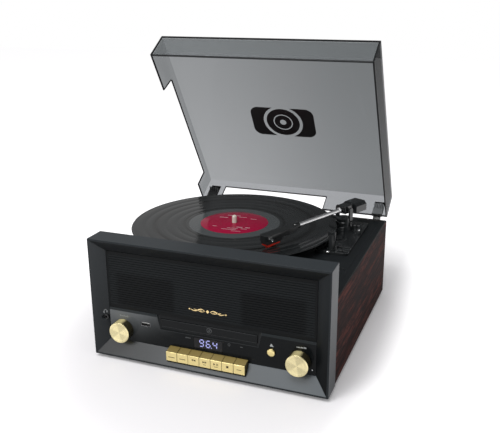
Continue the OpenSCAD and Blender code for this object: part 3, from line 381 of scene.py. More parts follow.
platterAt = (-40, 32)          # platter centre, millimetres
discLook = {"vinyl": (0.0085, 0.0095, 0.01), "band": (0.015, 0.0165, 0.0175),
            "lead": (0.058, 0.064, 0.067), "leadTo": 0.0675, "gloss": 0.075,
            "dull": ((0.0735, 0.003), (0.1165, 0.006)), "dullColor": (0.002, 0.002, 0.002)}


# Pressed vinyl: grooves from the rim in, dull rings in them, and the plain ring round the label
def pressedVinyl():
    mat, shader, place = newFinish("vinyl", discLook["vinyl"], {"Specular IOR Level": 0.39})
    fromCentre = vectorMaths("SUBTRACT", place, vec(*platterAt, 0))[0]
    ring = useGroup(ringGroup, {"Vector": fromCentre, "Rings Per Metre": 1900.0})
    lead = invert(fade(ring["Radius"], discLook["leadTo"] - 0.0006, discLook["leadTo"]))
    banded = blend(fade(ring["Uneven"], 0.42, 0.6), discLook["vinyl"], discLook["band"])
    for middle, half in discLook["dull"]:
        away = maths("ABSOLUTE", maths("SUBTRACT", ring["Radius"], middle))
        banded = blend(fade(away, half * 0.4, half), discLook["dullColor"], banded)
    feed(blend(lead, banded, discLook["lead"]), shader["Base Color"])
    feed(maths("ADD", discLook["gloss"], times(ring["Uneven"], 0.1)), shader["Roughness"])
    bumpFrom(shader, times(ring["Ring"], invert(lead)), 0.06, 0.00003)
    return mat


panelLook = {"dark": (0.0055, 0.0066, 0.0074), "pale": (0.142, 0.151, 0.157), "reflectionX": (-0.205, -0.095),
             "reflectionZ": (0.016, 0.07), "lean": 1.1, "ledge": (0.02, 0.024, 0.026), "ledgeLow": 0.0672}


# Gloss lacquer with a painted reflection that makes it paler towards the upper left end of the panel
def glossPanel():
    mat, shader, place = newFinish("glossPanel", panelLook["dark"], {"Specular IOR Level": 0.12})
    addSkin(shader, place, 600.0, 0.16, 0.06)
    parts = axes(place)
    along = maths("SUBTRACT", parts["X"], times(parts["Z"], panelLook["lean"]))
    # painted reflection: paler towards the upper left corner of the face
    corner = times(invert(fade(along, *panelLook["reflectionX"])), fade(parts["Z"], *panelLook["reflectionZ"]))
    ledge = fade(parts["Z"], panelLook["ledgeLow"], panelLook["ledgeLow"] + 0.0006)
    face = blend(corner, panelLook["dark"], panelLook["pale"])
    feed(blend(ledge, face, panelLook["ledge"]), shader["Base Color"])
    return mat


grilleLook = {"plain": (0.0075, 0.009, 0.01), "deep": (0.0022, 0.0029, 0.0034), "x": (0.042, 0.132),
              "z": (0.073, 0.126), "soft": 0.008}


# The grille's plastic, with painted shade in front of the two speakers
def grillePlastic():
    mat = plastic("grillePlastic", grilleLook["plain"], 0.5, 3000.0, 0.05, 0.1, 0.12)
    shader, place = partsOf(mat)
    parts = axes(place)
    across = maths("ABSOLUTE", parts["X"])
    mask = 1.0
    for value, (low, high) in ((across, grilleLook["x"]), (parts["Z"], grilleLook["z"])):
        inside = times(fade(value, low, low + grilleLook["soft"]),
                       invert(fade(value, high - grilleLook["soft"], high)))
        mask = times(inside, mask)
    # painted shade: darker in front of the speakers
    feed(blend(mask, grilleLook["plain"], grilleLook["deep"]), shader["Base Color"])
    return mat


# Smoked clear plastic, with one tint at the left end and another at the right, a painted light
# across each wall. With a tint for straight, a wall is paler seen straight on and takes its own tint at a
# slant.
def smokedClear(name, left, right, bend=1.1, straight=None):
    mat, shader, place = newFinish(name, left, {"Transmission Weight": 1.0, "IOR": bend})
    addSkin(shader, place, 300.0, 0.025, 0.02)
    # painted light: the tint changes from left to right
    tint = blend(fade(axes(place)["X"], -0.16, 0.16), left, right)
    if straight:
        slant = addNode(mat.node_tree, "ShaderNodeLayerWeight", {"Blend": 0.5}).outputs["Facing"]
        tint = blend(fade(slant, 0.2, 0.6), straight, tint)
    feed(tint, shader["Base Color"])
    return mat


# A face of the bezel with its own depth of colour at each end, against the charcoal's: lit and shaded
# copies of the charcoal, painted light and shade. The ends are left and right, or for a side slope low and
# high
def shadedBezelFace(name, first, last, gloss, along="X"):
    mat = plastic(name, charcoal, 0.36, 3200.0, 0.05, 0.08, gloss)
    shader, place = partsOf(mat)
    reach = {"X": (-0.15, 0.15), "Z": (0.02, 0.15)}[along]
    feed(blend(fade(axes(place)[along], *reach), shaded(charcoal, first), shaded(charcoal, last)),
         shader["Base Color"])
    return mat


paleGold, deepGold = (0.88, 0.735, 0.345), (0.78, 0.6, 0.21)
black = (0.0125, 0.014, 0.015)
charcoal = (0.028, 0.0325, 0.036)
# Rows of name, colour and roughness, then the further values of plastic() or metal() where they differ
plastics = {
    "dark_board": ("paintedBoard", (0.02, 0.019, 0.019), 0.62, 900, 0.3, 0.15, 0.3),
    "bezel": ("satinCharcoal", (0.0355, 0.041, 0.0455), 0.38, 3200, 0.05, 0.08, 0.1),
    "deck": ("mattDeck", (0.0095, 0.0115, 0.013), 0.5, 2600, 0.2, 0.1, 0.2),
    "rubber": ("rubber", (0.012, 0.012, 0.012), 0.75, 1800, 0.3, 0.1, 0.25),
    "baffle": ("blackBaffle", (0.022, 0.025, 0.027), 0.7, 1500, 0.2, 0.1, 0.2),
    "speaker": ("speakerBlack", (0.01, 0.01, 0.011), 0.6, 1200, 0.3, 0.1, 0.3),
    "window": ("smokedWindow", (0.004, 0.004, 0.005), 0.05, 400, 0.0, 0.03, 0.3),
    "display": ("displayHousing", (0.7, 0.72, 0.8), 0.4),
    "circuit": ("circuitBoard", (0.01, 0.085, 0.035), 0.35, 700, 0.2, 0.2),
    "socket": ("socketBlack", (0.008, 0.008, 0.009), 0.35),
    "tray": ("trayBlack", (0.0065, 0.0075, 0.0083), 0.2, 800, 0.02, 0.06, 0.15),
    "chassis": ("chassisGrey", (0.055, 0.06, 0.062), 0.5),
    "laser": ("laserBlack", (0.01, 0.01, 0.01), 0.5),
    "transformer": ("varnish", (0.22, 0.1, 0.04), 0.4),
    "platter": ("platterBlack", (0.02, 0.021, 0.022), 0.4, 1500, 0.2, 0.1, 0.4),
    "mat": ("feltMat", (0.016, 0.016, 0.018), 0.85, 1400, 0.6, 0.1, 0.2),
    "label": ("labelPaper", (0.29, 0.0045, 0.036), 0.14, 1200, 0.02, 0.06, 0.08, 0.08),
    "spindle": ("spindleSatin", (0.62, 0.57, 0.5), 0.25, 1800, 0.05, 0.1, 0.8),
    "belt": ("beltRubber", (0.012, 0.012, 0.012), 0.6),
    "arm_base": ("armBase", black, 0.2, 2000, 0.05, 0.1, 0.4),
    "yoke": ("yokeBlack", black, 0.18, 2000, 0.03, 0.1, 0.6),
    "tonearm": ("armBlack", black, 0.18, 2000, 0.03, 0.1, 0.6),
    "headshell": ("headBlack", (0.01, 0.011, 0.0115), 0.3, 2000, 0.05, 0.1, 0.45),
    "cartridge": ("cartridgeBlack", (0.014, 0.014, 0.016), 0.3, 2000, 0.05, 0.1, 0.45),
    "stylus": ("stylusRed", (0.8, 0.03, 0.01), 0.3, 900, 0.02, 0.05, 0.5),
    "arm_small": ("armSmallBlack", black, 0.3, 2000, 0.05, 0.1, 0.45),
    "hinge": ("hingeBlack", (0.017, 0.018, 0.019), 0.33, 1800, 0.06, 0.1, 0.5),
    "print": ("palePrint", (0.42, 0.44, 0.45), 0.5, 900, 0.0, 0.1, 0.3),
    "faintPrint": ("faintPrint", (0.026, 0.029, 0.031), 0.4, 900, 0.0, 0.1, 0.3),
    "dimPrint": ("dimPrint", (0.1, 0.105, 0.11), 0.5, 900, 0.0, 0.1, 0.3),
    "darkPrint": ("brownPrint", (0.085, 0.06, 0.022), 0.5, 900, 0.0, 0.1, 0.3),
    "labelPrint": ("labelPrint", (0.62, 0.46, 0.5), 0.55, 900, 0.0, 0.1, 0.3),
    "figures": ("glowingFigures", (0.2, 0.21, 0.3), 0.4, 900, 0.0),
    "dotWhite": ("whiteDot", (0.85, 0.86, 0.88), 0.35, 900, 0.0),
    "grilleRim": ("grilleRim", (0.003, 0.0037, 0.0042), 0.5, 3000, 0.05, 0.1, 0.12),
    "capGrey": ("capGrey", (0.22, 0.23, 0.24), 0.4, 1800, 0.05, 0.1, 0.3),
    "recess": ("recessBlack", (0.004, 0.004, 0.004), 0.6),
    "lidEdge": ("lidEdge", (0.007, 0.008, 0.009), 0.3, 900, 0.0, 0.05, 0.2),
    "emblem": ("emblemInk", (0.0095, 0.0095, 0.01), 0.4, 900, 0.0, 0.05, 0.3),
    "pocket": ("pocketLacquer", panelLook["dark"], 0.18, 600, 0.01, 0.06, 0.15),
    "redRing": ("redInsulator", (0.45, 0.02, 0.015), 0.4),
    "whiteRing": ("whiteInsulator", (0.72, 0.72, 0.7), 0.4),
    "keyTop": ("keyTopGold", (0.235, 0.175, 0.055), 0.35, 2600, 0.06, 0.1, 0.5, 0.25),
}
metals = {
    "steel": ("brightSteel", (0.62, 0.63, 0.65), 0.28),
    "tuning_gold": ("goldA", deepGold, 0.09, "Y", 1800, 0.01, 0.03),
    "volume_gold": ("goldB", deepGold, 0.09, "Y", 1800, 0.01, 0.03),
    "button_gold": ("buttonGold", paleGold, 0.3),
    "key_gold": ("keyGold", paleGold, 0.36, "X", 2200, 0.1, 0.08),
    "pulley": ("pulleyBrass", (0.75, 0.6, 0.3), 0.25),
    "goldPrint": ("goldPrint", (0.86, 0.66, 0.33), 0.35, "X", 1500, 0.05),
    "silver": ("armSilver", (0.96, 0.96, 0.97), 0.3, "Y", 1800, 0.04, 0.03),
    "chrome": ("chrome", (0.88, 0.88, 0.89), 0.08, "Z", 1500, 0.03, 0.04),
    "screw": ("screwZinc", (0.3, 0.3, 0.31), 0.3, "X", 3000, 0.1),
    "keySide": ("keySideGold", (0.3, 0.23, 0.09), 0.4, "Y", 2000, 0.1),
}
finishes = {"wood": rosewood(), "grille": grillePlastic(), "panel": glossPanel(), "vinyl": pressedVinyl()}
for make, rows in ((plastic, plastics), (metal, metals)):
    for key, row in rows.items():
        finishes[key] = make(*row)

sideLook = (1.04, (0.44, 0.45, 0.455))         # the side walls' bend of light and their tint straight on
# each wall takes its own tint, lit and shaded copies of one smoked plastic: painted light and shade
lidShadeTints = {"top": ((0.293, 0.304, 0.31), (0.178, 0.188, 0.193)),
            "rear": ((0.315, 0.325, 0.335), (0.285, 0.295, 0.305)),
            "front": ((0.66, 0.68, 0.69), (0.84, 0.86, 0.87)),
            "left": ((0.198, 0.208, 0.213),) * 2 + sideLook,
            "right": ((0.062, 0.067, 0.07),) * 2 + sideLook}
lidMats = {wall: smokedClear("smoked_" + wall, *row) for wall, row in lidShadeTints.items()}
finishes["lid"] = lidMats["top"]

# each bezel face's painted light and shade: depth of colour at each end, then gloss, then the axis if not X
slopes = {"top": (0.36, 0.3, 0.1), "left": (0.6, 0.8, 0.22, "Z"), "right": (0.16, 0.6, 0.08, "Z"),
          "bottom": (0.42, 3.1, 0.42), "lip": (0.8, 0.8, 0.1), "outer": (1.9, 1.9, 0.12)}
slopeShadeMats = [shadedBezelFace("charcoal_" + side, *row) for side, row in slopes.items()]
glow = partsOf(finishes["figures"])[0]
glow["Emission Color"].default_value = (0.42, 0.43, 1.0, 1)
glow["Emission Strength"].default_value = 0.7

slotOf = {row["node"]: row["material_slot"] for row in frame["record"]["subparts"]}
bodies = frame["record"]["behaviour"]["bodies"]
bodyOf = {node: body for body, members in bodies.items() for node in members}
for name, node in cadNodes.items():
    node.data.materials.clear()
    node.data.materials.append(finishes[slotOf[name]])
print("finishes are made")


# Mesh helpers

def addPiece(mesh, name, node, stands=(), mats=(), smooth=35):
    # the piece takes its body from a CAD node
    obj = addObject(name, mesh)
    for mat in mats:
        mesh.materials.append(mat)
    mesh.polygons.foreach_set("use_smooth", [True] * len(mesh.polygons))
    mesh.set_sharp_from_angle(angle=radians(smooth))
    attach(obj, bodyOf[node])
    if stands:
        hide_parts(*stands)
    return obj


def intoMesh(bm, name, pick=None):
    # pick gives a face's finish from its centre and normal
    if pick:
        for face in bm.faces:
            face.material_index = int(pick(face.calc_center_median() / mm, face.normal))
    mesh = bpy.data.meshes.new(name)
    bm.to_mesh(mesh)
    bm.free()
    return mesh


def solidOf(node):
    # a CAD node's solid, without doubled points and edges across flat faces
    bm = bmesh.new()
    bm.from_mesh(cadNodes[node].data)
    bmesh.ops.remove_doubles(bm, verts=bm.verts, dist=0.002 * mm)
    bmesh.ops.dissolve_limit(bm, angle_limit=radians(0.6), verts=bm.verts, edges=bm.edges)
    bm.normal_update()
    return bm


# A CAD node's solid with its edges rounded
def dressed(name, width=0.4, segments=2, mats=None, pick=None):
    obj = addPiece(intoMesh(solidOf(name), name, pick), name + "_body", name, [name],
                   mats or [finishes[slotOf[name]]])
    bevel = obj.modifiers.new("edges", "BEVEL")
    bevel.width = width * mm
    bevel.segments = segments
    bevel.limit_method = "ANGLE"
    bevel.angle_limit = radians(38)


# Turns a profile of (radius, height) points round an axis through a centre
def turned(profile, centre, steps=96, axis="Z", closed=False):
    bm = bmesh.new()
    points = [bm.verts.new((radius * mm, 0, height * mm)) for radius, height in profile]
    edges = [bm.edges.new(pair) for pair in zip(points, points[1:])]
    if closed:
        edges.append(bm.edges.new((points[-1], points[0])))
    bmesh.ops.spin(bm, geom=points + edges, cent=(0, 0, 0), axis=(0, 0, 1), angle=tau, steps=steps)
    bmesh.ops.remove_doubles(bm, verts=bm.verts, dist=0.001 * mm)
    bmesh.ops.recalc_face_normals(bm, faces=bm.faces)
    if axis == "Y":
        bmesh.ops.transform(bm, matrix=Matrix.Rotation(-pi / 2, 4, "X"), verts=bm.verts)
    bmesh.ops.translate(bm, vec=vec(*centre), verts=bm.verts)
    bm.normal_update()
    return bm


# Flat shapes for prints, in millimetres

def stroke(points, width, closed=False):
    # a ribbon along a line; width is one number, or one for each point
    count = len(points)
    widths = width if isinstance(width, (list, tuple)) else [width] * count
    sides = []
    for i, (x, y) in enumerate(points):
        ahead = points[(i + 1) % count] if closed or i < count - 1 else points[i]
        back = points[i - 1] if closed or i else points[i]
        dx, dy = ahead[0] - back[0], ahead[1] - back[1]
        size = hypot(dx, dy) or 1
        nx, ny = -dy / size * widths[i] / 2, dx / size * widths[i] / 2
        sides.append(((x + nx, y + ny), (x - nx, y - ny)))
    last = count if closed else count - 1
    return [[sides[i][1], sides[(i + 1) % count][1], sides[(i + 1) % count][0], sides[i][0]]
            for i in range(last)]


def arc(x, y, radius, start, end, count=16):
    angles = [radians(start + (end - start) * i / count) for i in range(count + 1)]
    return [(x + radius * cos(angle), y + radius * sin(angle)) for angle in angles]


def circle(x, y, radius, count):
    return arc(x, y, radius, 0, 360, count)[:-1]


def spot(x, y, radius, count=20):
    return [circle(x, y, radius, count)]


def ring(x, y, radius, width, count):
    return stroke(circle(x, y, radius, count), width, True)


def bar(x, y, width, height):
    w, h = width / 2, height / 2
    return [[(x - w, y - h), (x + w, y - h), (x + w, y + h), (x - w, y + h)]]


def wedge(x, y, width, height):
    # a triangle that points along +X, or along -X with a negative width
    corners = [(x - width / 2, y - height / 2), (x + width / 2, y), (x - width / 2, y + height / 2)]
    return [corners if width > 0 else corners[::-1]]


def roundedBox(x, y, width, height, radius, count=4):
    points = []
    for cx, cy, start in ((1, 1, 0), (-1, 1, 90), (-1, -1, 180), (1, -1, 270)):
        points += arc(x + cx * (width / 2 - radius), y + cy * (height / 2 - radius), radius, start,
                      start + 90, count)
    return points


# Lays flat shapes on a surface: right and up are its directions, outwards is right x up
def printed(name, shapes, origin, right, up, node, mat, lift=0.03):
    right, up = Vector(right).normalized(), Vector(up).normalized()
    out = right.cross(up)
    base = Vector(origin) + out * lift
    bm = bmesh.new()
    for shape in shapes:
        bm.faces.new([bm.verts.new((base + right * x + up * y) * mm) for x, y in shape])
    addPiece(intoMesh(bm, name), name, node, (), [finishes[mat]])


# Geometry Nodes for what repeats

def newTree(name, inputs):
    return newGroup(name, {"Geometry": "Geometry"} | inputs, ["Geometry"], "GeometryNodeTree", "Geometry")


def withFinish(geometry, mat):
    return addNode(mat.id_data, "GeometryNodeSetMaterial", {
        "Geometry": geometry, "Material": mat}).outputs[0]


def joined(*parts):
    node = addNode(parts[0].id_data, "GeometryNodeJoinGeometry")
    for part in parts:
        feed(part, node.inputs[0])
    return node.outputs[0]


def raised(geometry, height):
    return addNode(height.id_data, "GeometryNodeTransform", {
        "Geometry": geometry, "Translation": combine({2: height})}).outputs[0]


# Rounded bars side by side
def makeBarTree():
    tree, given, out = newTree("bars", {
        "Length": 0.2, "Bar Height": 0.0017, "Bar Depth": 0.002, "Rounding": 0.0005, "Count": 10,
        "Start": "Vector", "Step": "Vector", "Turn": "Vector", "Finish": "Material"})
    half = times(given["Length"], 0.5)
    line = addNode(tree, "GeometryNodeCurvePrimitiveLine", {
        "Start": combine({0: times(half, -1.0)}), "End": combine({0: half})})
    section = addNode(tree, "GeometryNodeCurvePrimitiveQuadrilateral", {
        "Width": given["Bar Depth"], "Height": given["Bar Height"]})
    softer = addNode(tree, "GeometryNodeFilletCurve", {
        "Curve": section.outputs[0], "Radius": given["Rounding"]}, mode="POLY")
    softer.inputs["Count"].default_value = 2
    rod = addNode(tree, "GeometryNodeCurveToMesh", {
        "Curve": line.outputs[0], "Profile Curve": softer.outputs[0], "Fill Caps": True})
    places = addNode(tree, "GeometryNodeMeshLine", {
        "Count": given["Count"], "Start Location": given["Start"], "Offset": given["Step"]})
    rods = addNode(tree, "GeometryNodeInstanceOnPoints", {
        "Points": places.outputs[0], "Instance": rod.outputs[0], "Rotation": given["Turn"]})
    real = addNode(tree, "GeometryNodeRealizeInstances", {"Geometry": rods.outputs[0]})
    feed(withFinish(real.outputs[0], given["Finish"]), out["Geometry"])
    return tree


# A cross-head screw on every point of the mesh it is given
def makeScrewTree():
    tree, given, out = newTree("screws", {
        "Head Radius": 0.003, "Head Height": 0.001, "Turn": "Vector", "Seed": 4, "Finish": "Material",
        "Recess": "Material"})
    radius, height = given["Head Radius"], given["Head Height"]
    lower = times(height, 0.5)
    rim = addNode(tree, "GeometryNodeMeshCylinder", {
        "Vertices": 20, "Radius": radius, "Depth": height}, fill_type="NGON")
    dome = addNode(tree, "GeometryNodeMeshCone", {
        "Vertices": 20, "Radius Top": times(radius, 0.6), "Radius Bottom": radius, "Depth": lower},
        fill_type="NGON")
    head = joined(rim.outputs["Mesh"], raised(dome.outputs["Mesh"], lower))
    # the cross is a black block on the head: painted shade in place of a recess
    long, thin = times(radius, 1.1), times(radius, 0.22)
    sizes = [combine({0: x, 1: y, 2: lower}) for x, y in ((long, thin), (thin, long))]
    blocks = [addNode(tree, "GeometryNodeMeshCube", {"Size": size}).outputs["Mesh"] for size in sizes]
    cross = raised(joined(*blocks), times(height, 0.79))
    screw = joined(withFinish(head, given["Finish"]), withFinish(cross, given["Recess"]))
    points = addNode(tree, "GeometryNodeInstanceOnPoints", {
        "Points": given["Geometry"], "Instance": screw, "Rotation": given["Turn"]})
    spin = addNode(tree, "FunctionNodeRandomValue", {"Seed": given["Seed"]}, data_type="FLOAT")
    spin.inputs[3].default_value = 1.5         # the greatest turn
    spun = addNode(tree, "GeometryNodeRotateInstances", {
        "Instances": points.outputs[0], "Rotation": combine({2: spin.outputs[1]})})
    real = addNode(tree, "GeometryNodeRealizeInstances", {"Geometry": spun.outputs[0]})
    feed(real.outputs[0], out["Geometry"])
    return tree


barTree = makeBarTree()
screwTree = makeScrewTree()


# Runs a tree once on a few points and keeps the plain mesh
def grown(name, tree, values, points=((0, 0, 0),)):
    seed = bpy.data.meshes.new(name)
    seed.from_pydata([vec(*point) for point in points], [], [])
    obj = addObject(name, seed)
    modifier = obj.modifiers.new("nodes", "NODES")
    modifier.node_group = tree
    for item in tree.interface.items_tree:
        if item.item_type == "SOCKET" and item.in_out == "INPUT" and item.name in values:
            modifier[item.identifier] = values[item.name]
    result = obj.evaluated_get(bpy.context.evaluated_depsgraph_get())
    mesh = bpy.data.meshes.new_from_object(result)
    bpy.data.objects.remove(obj)
    return mesh


def joinMeshes(name, meshes):
    # material slots are kept one after another
    bm = bmesh.new()
    mats = []
    for mesh in meshes:
        count = len(bm.faces)
        bm.from_mesh(mesh)
        bm.faces.ensure_lookup_table()
        for face in bm.faces[count:]:
            face.material_index += len(mats)
        mats += list(mesh.materials)
    return intoMesh(bm, name), mats


# Cabinet

for name, width in {"top_deck": 0.3, "base_board": 0.4, "rear_board": 0.4}.items():
    dressed(name, width)


def bezelPick(centre, normal):
    # the four slopes round the front, the lip before them and the right outer face, each with its painted
    # shade
    if normal.x > 0.9 and centre.x > 155:
        return 6
    if centre.y > -150 or normal.y > -0.3:
        return 0
    if normal.y < -0.97:
        return 5
    if abs(normal.z) > 0.4:
        return 1 if normal.z < 0 else 4
    return 2 if normal.x > 0.4 else 3 if normal.x < -0.4 else 0


dressed("front_bezel", 0.5, mats=[finishes["bezel"]] + slopeShadeMats, pick=bezelPick)


def boardPick(centre, normal):
    # the deck's black runs over the top edges of the side boards
    return normal.z > 0.5


for name in ("left_side", "right_side"):
    dressed(name, 0.4, mats=[finishes["wood"], finishes["deck"]], pick=boardPick)

screws = {"radius": 3.0, "height": 1.1}
rearRow = [(x, 169, z) for z in (12, 116) for x in (-118, -40, 40, 118)]
lowRow = [(x, y, 5) for x in (-142, 142) for y in (-100, -10, 90)]
for name, node, points, turn in (("rear_screws", "rear_board", rearRow, (-pi / 2, 0, 0)),
                                 ("base_screws", "base_board", lowRow, (pi, 0, 0))):
    addPiece(grown(name, screwTree, {
        "Head Radius": screws["radius"] * mm, "Head Height": screws["height"] * mm, "Turn": turn,
        "Finish": finishes["screw"], "Recess": finishes["recess"]}, points), name, node)
print("cabinet is dressed")


# Grille and speakers

def barRow(name, size, rounding, count, start, step, mat, turn=(0, 0, 0)):
    # size is length, height and depth
    return grown(name, barTree, {
        "Length": size[0] * mm, "Bar Height": size[1] * mm, "Bar Depth": size[2] * mm,
        "Rounding": rounding * mm, "Count": count, "Start": vec(*start), "Step": vec(*step), "Turn": turn,
        "Finish": mat})


grille = {"width": 283.6, "low": 71.7, "high": 150.8, "front": -157.0, "depth": 6.0, "border": 3.0,
          "barHeight": 2.85, "pitch": 3.2, "barDepth": 1.6, "columns": 6, "ribBehind": 2.8, "ribWidth": 1.6}


def addGrille():
    # the CAD grille is hidden, and a frame and bars with round faces, with ribs behind them, take its place
    low, high, front, pitch = (grille[key] for key in ("low", "high", "front", "pitch"))
    half, span = grille["width"] / 2, grille["width"] - 2 * grille["border"]
    count = int((high - low - 2 * grille["border"] + grille["barHeight"]) // pitch)
    middle, gap, column = (low + high) / 2, pitch - grille["barHeight"], span / grille["columns"]
    first = middle - (count - 1) * pitch / 2
    bars = barRow("grilleBars", (span + 1, grille["barHeight"], grille["barDepth"]), 0.2, count - 1,
                  (0, front + grille["barDepth"] / 2, first + pitch / 2), (0, 0, pitch), finishes["grille"])
    ribs = barRow("grilleRibs", (high - low - 4, 2.0, grille["ribWidth"]), 0.3, grille["columns"] - 1,
                  (column - span / 2, front + grille["ribBehind"], middle), (column, 0, 0),
                  finishes["grille"], (0, pi / 2, 0))
    outer = [(-half, low), (half, low), (half, high), (-half, high)]
    inLow, inHigh = first + gap / 2, first + (count - 1) * pitch - gap / 2
    inner = [(-span / 2, inLow), (span / 2, inLow), (span / 2, inHigh), (-span / 2, inHigh)]
    bm = bmesh.new()
    loops = [[bm.verts.new(vec(x, y, z)) for x, z in loop]
             for y in (front, front + grille["depth"]) for loop in (outer, inner)]
    frontOut, frontIn, backOut, backIn = loops
    for a, b in ((frontOut, frontIn), (backOut, backIn), (frontOut, backOut), (frontIn, backIn)):
        for i in range(4):
            j = (i + 1) % 4
            bm.faces.new((a[i], a[j], b[j], b[i]))
    bmesh.ops.recalc_face_normals(bm, faces=bm.faces)
    edges = [edge for edge in bm.edges if edge.calc_face_angle(0) > 0.7]
    bmesh.ops.bevel(bm, geom=edges, offset=0.35 * mm, segments=2, affect="EDGES", profile=0.5)
    # the frame takes a darker copy of the grille's plastic: painted shade
    rim = intoMesh(bm, "grilleRim")
    rim.materials.append(finishes["grilleRim"])
    mesh, mats = joinMeshes("speaker_grille_bars", [rim, bars, ribs])
    addPiece(mesh, "speaker_grille_bars", "speaker_grille", ["speaker_grille"], mats)


addGrille()
for name in ("speakers", "speaker_baffle"):
    dressed(name, 0.3)


def flourish(half=25.5):
    # a plain gold scroll: a lozenge, two curls and end beads
    shapes = [[(-2.4, 0), (0, -2.5), (2.4, 0), (0, 2.5)]]
    for side in (-1, 1):
        wave = [(side * (3.6 + (half - 5.5) * i / 24), 2.3 * sin(pi * 2 * i / 24) * (1 - i / 40))
                for i in range(25)]
        under = [(x, -y * 0.75) for x, y in wave[:19]]
        for points, least, swell in ((wave, 0.45, 1.15), (under, 0.35, 0.5)):
            last = len(points) - 1
            widths = [least + swell * sin(pi * i / last) for i in range(last + 1)]
            shapes += stroke(points[::side], widths[::side])
        shapes += spot(side * (half - 0.6), 0, 1.0)
        shapes += spot(side * 9.0, 0, 0.7, 12) + spot(side * 15.2, 0, 0.55, 12)
    return shapes


printed("grille_ornament", flourish(), (0.5, grille["front"], 87.4), (1, 0, -0.012), (0, 0, 1),
        "speaker_grille", "goldPrint", 0.12)
print("grille is dressed")


# Control panel

frontAt = {"panel": -157.0, "drawer": -156.5, "keys": -169.0}


def frontPrint(name, shapes, x, z, node, mat="print", lift=0.03, on="panel"):
    printed(name, shapes, (x, frontAt[on], z), (1, 0, 0), (0, 0, 1), node, mat, lift)


def panelPick(centre, normal):
    # the pocket round the drawer is darker than the face
    return centre.y > frontAt["panel"] + 0.05 or normal.y > -0.99


dressed("control_panel", 0.25, mats=[finishes["panel"], finishes["pocket"]], pick=panelPick)
# pale lines on the pocket's and the drawer's outlines: painted highlights on their edges
pocketHighlight = stroke([(-72.3, 71.2), (-67.9, 50.8), (67.9, 50.8), (72.3, 71.2)], 0.4)
frontPrint("pocket_highlight", pocketHighlight, 0, 0, "control_panel", "faintPrint", 0.02)
drawerHighlight = stroke([(-65.6, 55.8), (65.6, 55.8), (65.6, 65.8), (-65.6, 65.8)], 0.45, True)
frontPrint("drawer_highlight", drawerHighlight, 0, 0, "disc_tray", "faintPrint", 0.02, "drawer")
for name, width in {"disc_tray": 0.3, "display_window": 0.2, "headphone_socket": 0.3}.items():
    dressed(name, width)

figures = {"height": 9.2, "width": 5.2, "stroke": 1.4, "lean": 0.08, "pitch": 9.2, "point": 1.1,
           "text": "964"}
segments = {"0": "abcdef", "1": "bc", "2": "abged", "3": "abgcd", "4": "fgbc", "5": "afgcd",
            "6": "afgedc", "7": "abc", "8": "abcdefg", "9": "abcdfg"}


def figureShapes():
    w, h, thick = figures["width"] / 2, figures["height"] / 2, figures["stroke"]
    lines = {"a": ((-w, h), (w, h)), "b": ((w, h), (w, 0)), "c": ((w, 0), (w, -h)),
             "d": ((w, -h), (-w, -h)), "e": ((-w, -h), (-w, 0)), "f": ((-w, 0), (-w, h)),
             "g": ((-w, 0), (w, 0))}
    shapes = []
    for i, digit in enumerate(figures["text"]):
        shift = (i - (len(figures["text"]) - 1) / 2) * figures["pitch"]
        for key in segments[digit]:
            start, end = (Vector(point) for point in lines[key])
            step = (end - start).normalized() * thick * 0.55
            along = [start + step * 0.7, start + step * 1.5, end - step * 1.5, end - step * 0.7]
            for shape in stroke(along, [0.15, thick, thick, 0.15]):
                shapes.append([(x + shift + y * figures["lean"], y) for x, y in shape])
    return shapes + bar(0.5 * figures["pitch"] - 0.2, -h - 0.1, figures["point"], figures["point"])


frontPrint("display_figures", figureShapes(), 0.2, 42.0, "display_window", "figures", 0.05)

eject = [[(-y, x) for x, y in shape] for shape in wedge(0, 0.5, 3.2, 4.6)] + bar(0, -2.1, 4.6, 1.0)
frontPrint("eject_mark", eject, 85.5, 57.6, "control_panel")
volumeMark = [shape for i in range(7)
              for shape in bar(1.8 * i - 5.4, 0.081 * i - 0.35, 1.2, 0.162 * i + 1.1)]
frontPrint("volume_mark", volumeMark, 123.0, 61.0, "control_panel")
tuningMark = [shape for i in range(7) for shape in bar((i - 3) * 1.9, 0, 0.45, 2.4 if i % 3 == 0 else 1.5)]
frontPrint("tuning_mark", tuningMark, -120.8, 61.2, "control_panel")
small = ring(28.9, 0, 1.5, 0.5, 20) + bar(45.6, -0.3, 3.4, 0.7) + bar(-28.0, -0.6, 7.6, 0.8)
small += bar(-90.4, 12.4, 3.0, 0.6) + spot(-86.9, 12.4, 0.5, 10)
frontPrint("panel_marks", small, 0, 46.8, "control_panel", "dimPrint")
disc = ring(0, 0, 3.2, 0.55, 32) + ring(0, 0, 1.1, 0.5, 20)
disc += stroke(arc(0, 0, 2.2, 20, 80, 8), 0.35) + stroke(arc(0, 0, 2.2, 200, 260, 8), 0.35)
frontPrint("disc_mark", disc, 1.7, 61.2, "disc_tray", "dimPrint", on="drawer")
phones = stroke(arc(0, 0, 2.1, 0, 180, 14), 0.55) + bar(-1.95, -0.9, 1.1, 2.0) + bar(1.95, -0.9, 1.1, 2.0)
leftSlope = (16.5, 12.0, 0)            # along the bezel's left slope
printed("headphone_mark", phones, (-146.6, -160.35, 65.2), leftSlope, (0, 0, 1), "front_bezel", "print",
        0.06)
frontPrint("pilot_dot", spot(0, 0, 0.9, 16), 137.2, 33.2, "control_panel", "dotWhite", 0.06)


def socketPick(centre, normal):
    # the tongue inside the socket is white
    return abs(centre.x + 89) < 5.6 and 54.95 < centre.z < 56.1 and centre.y > -156.2


dressed("usb_socket", 0.15, mats=[finishes["screw"], finishes["whiteRing"]], pick=socketPick)


# Knobs and keys

knob = {"radius": 14.5, "length": 13.5, "back": -157.4, "height": 42.5, "across": 121.5, "dish": 0.55,
        "hollow": 5.6, "shaft": 3}
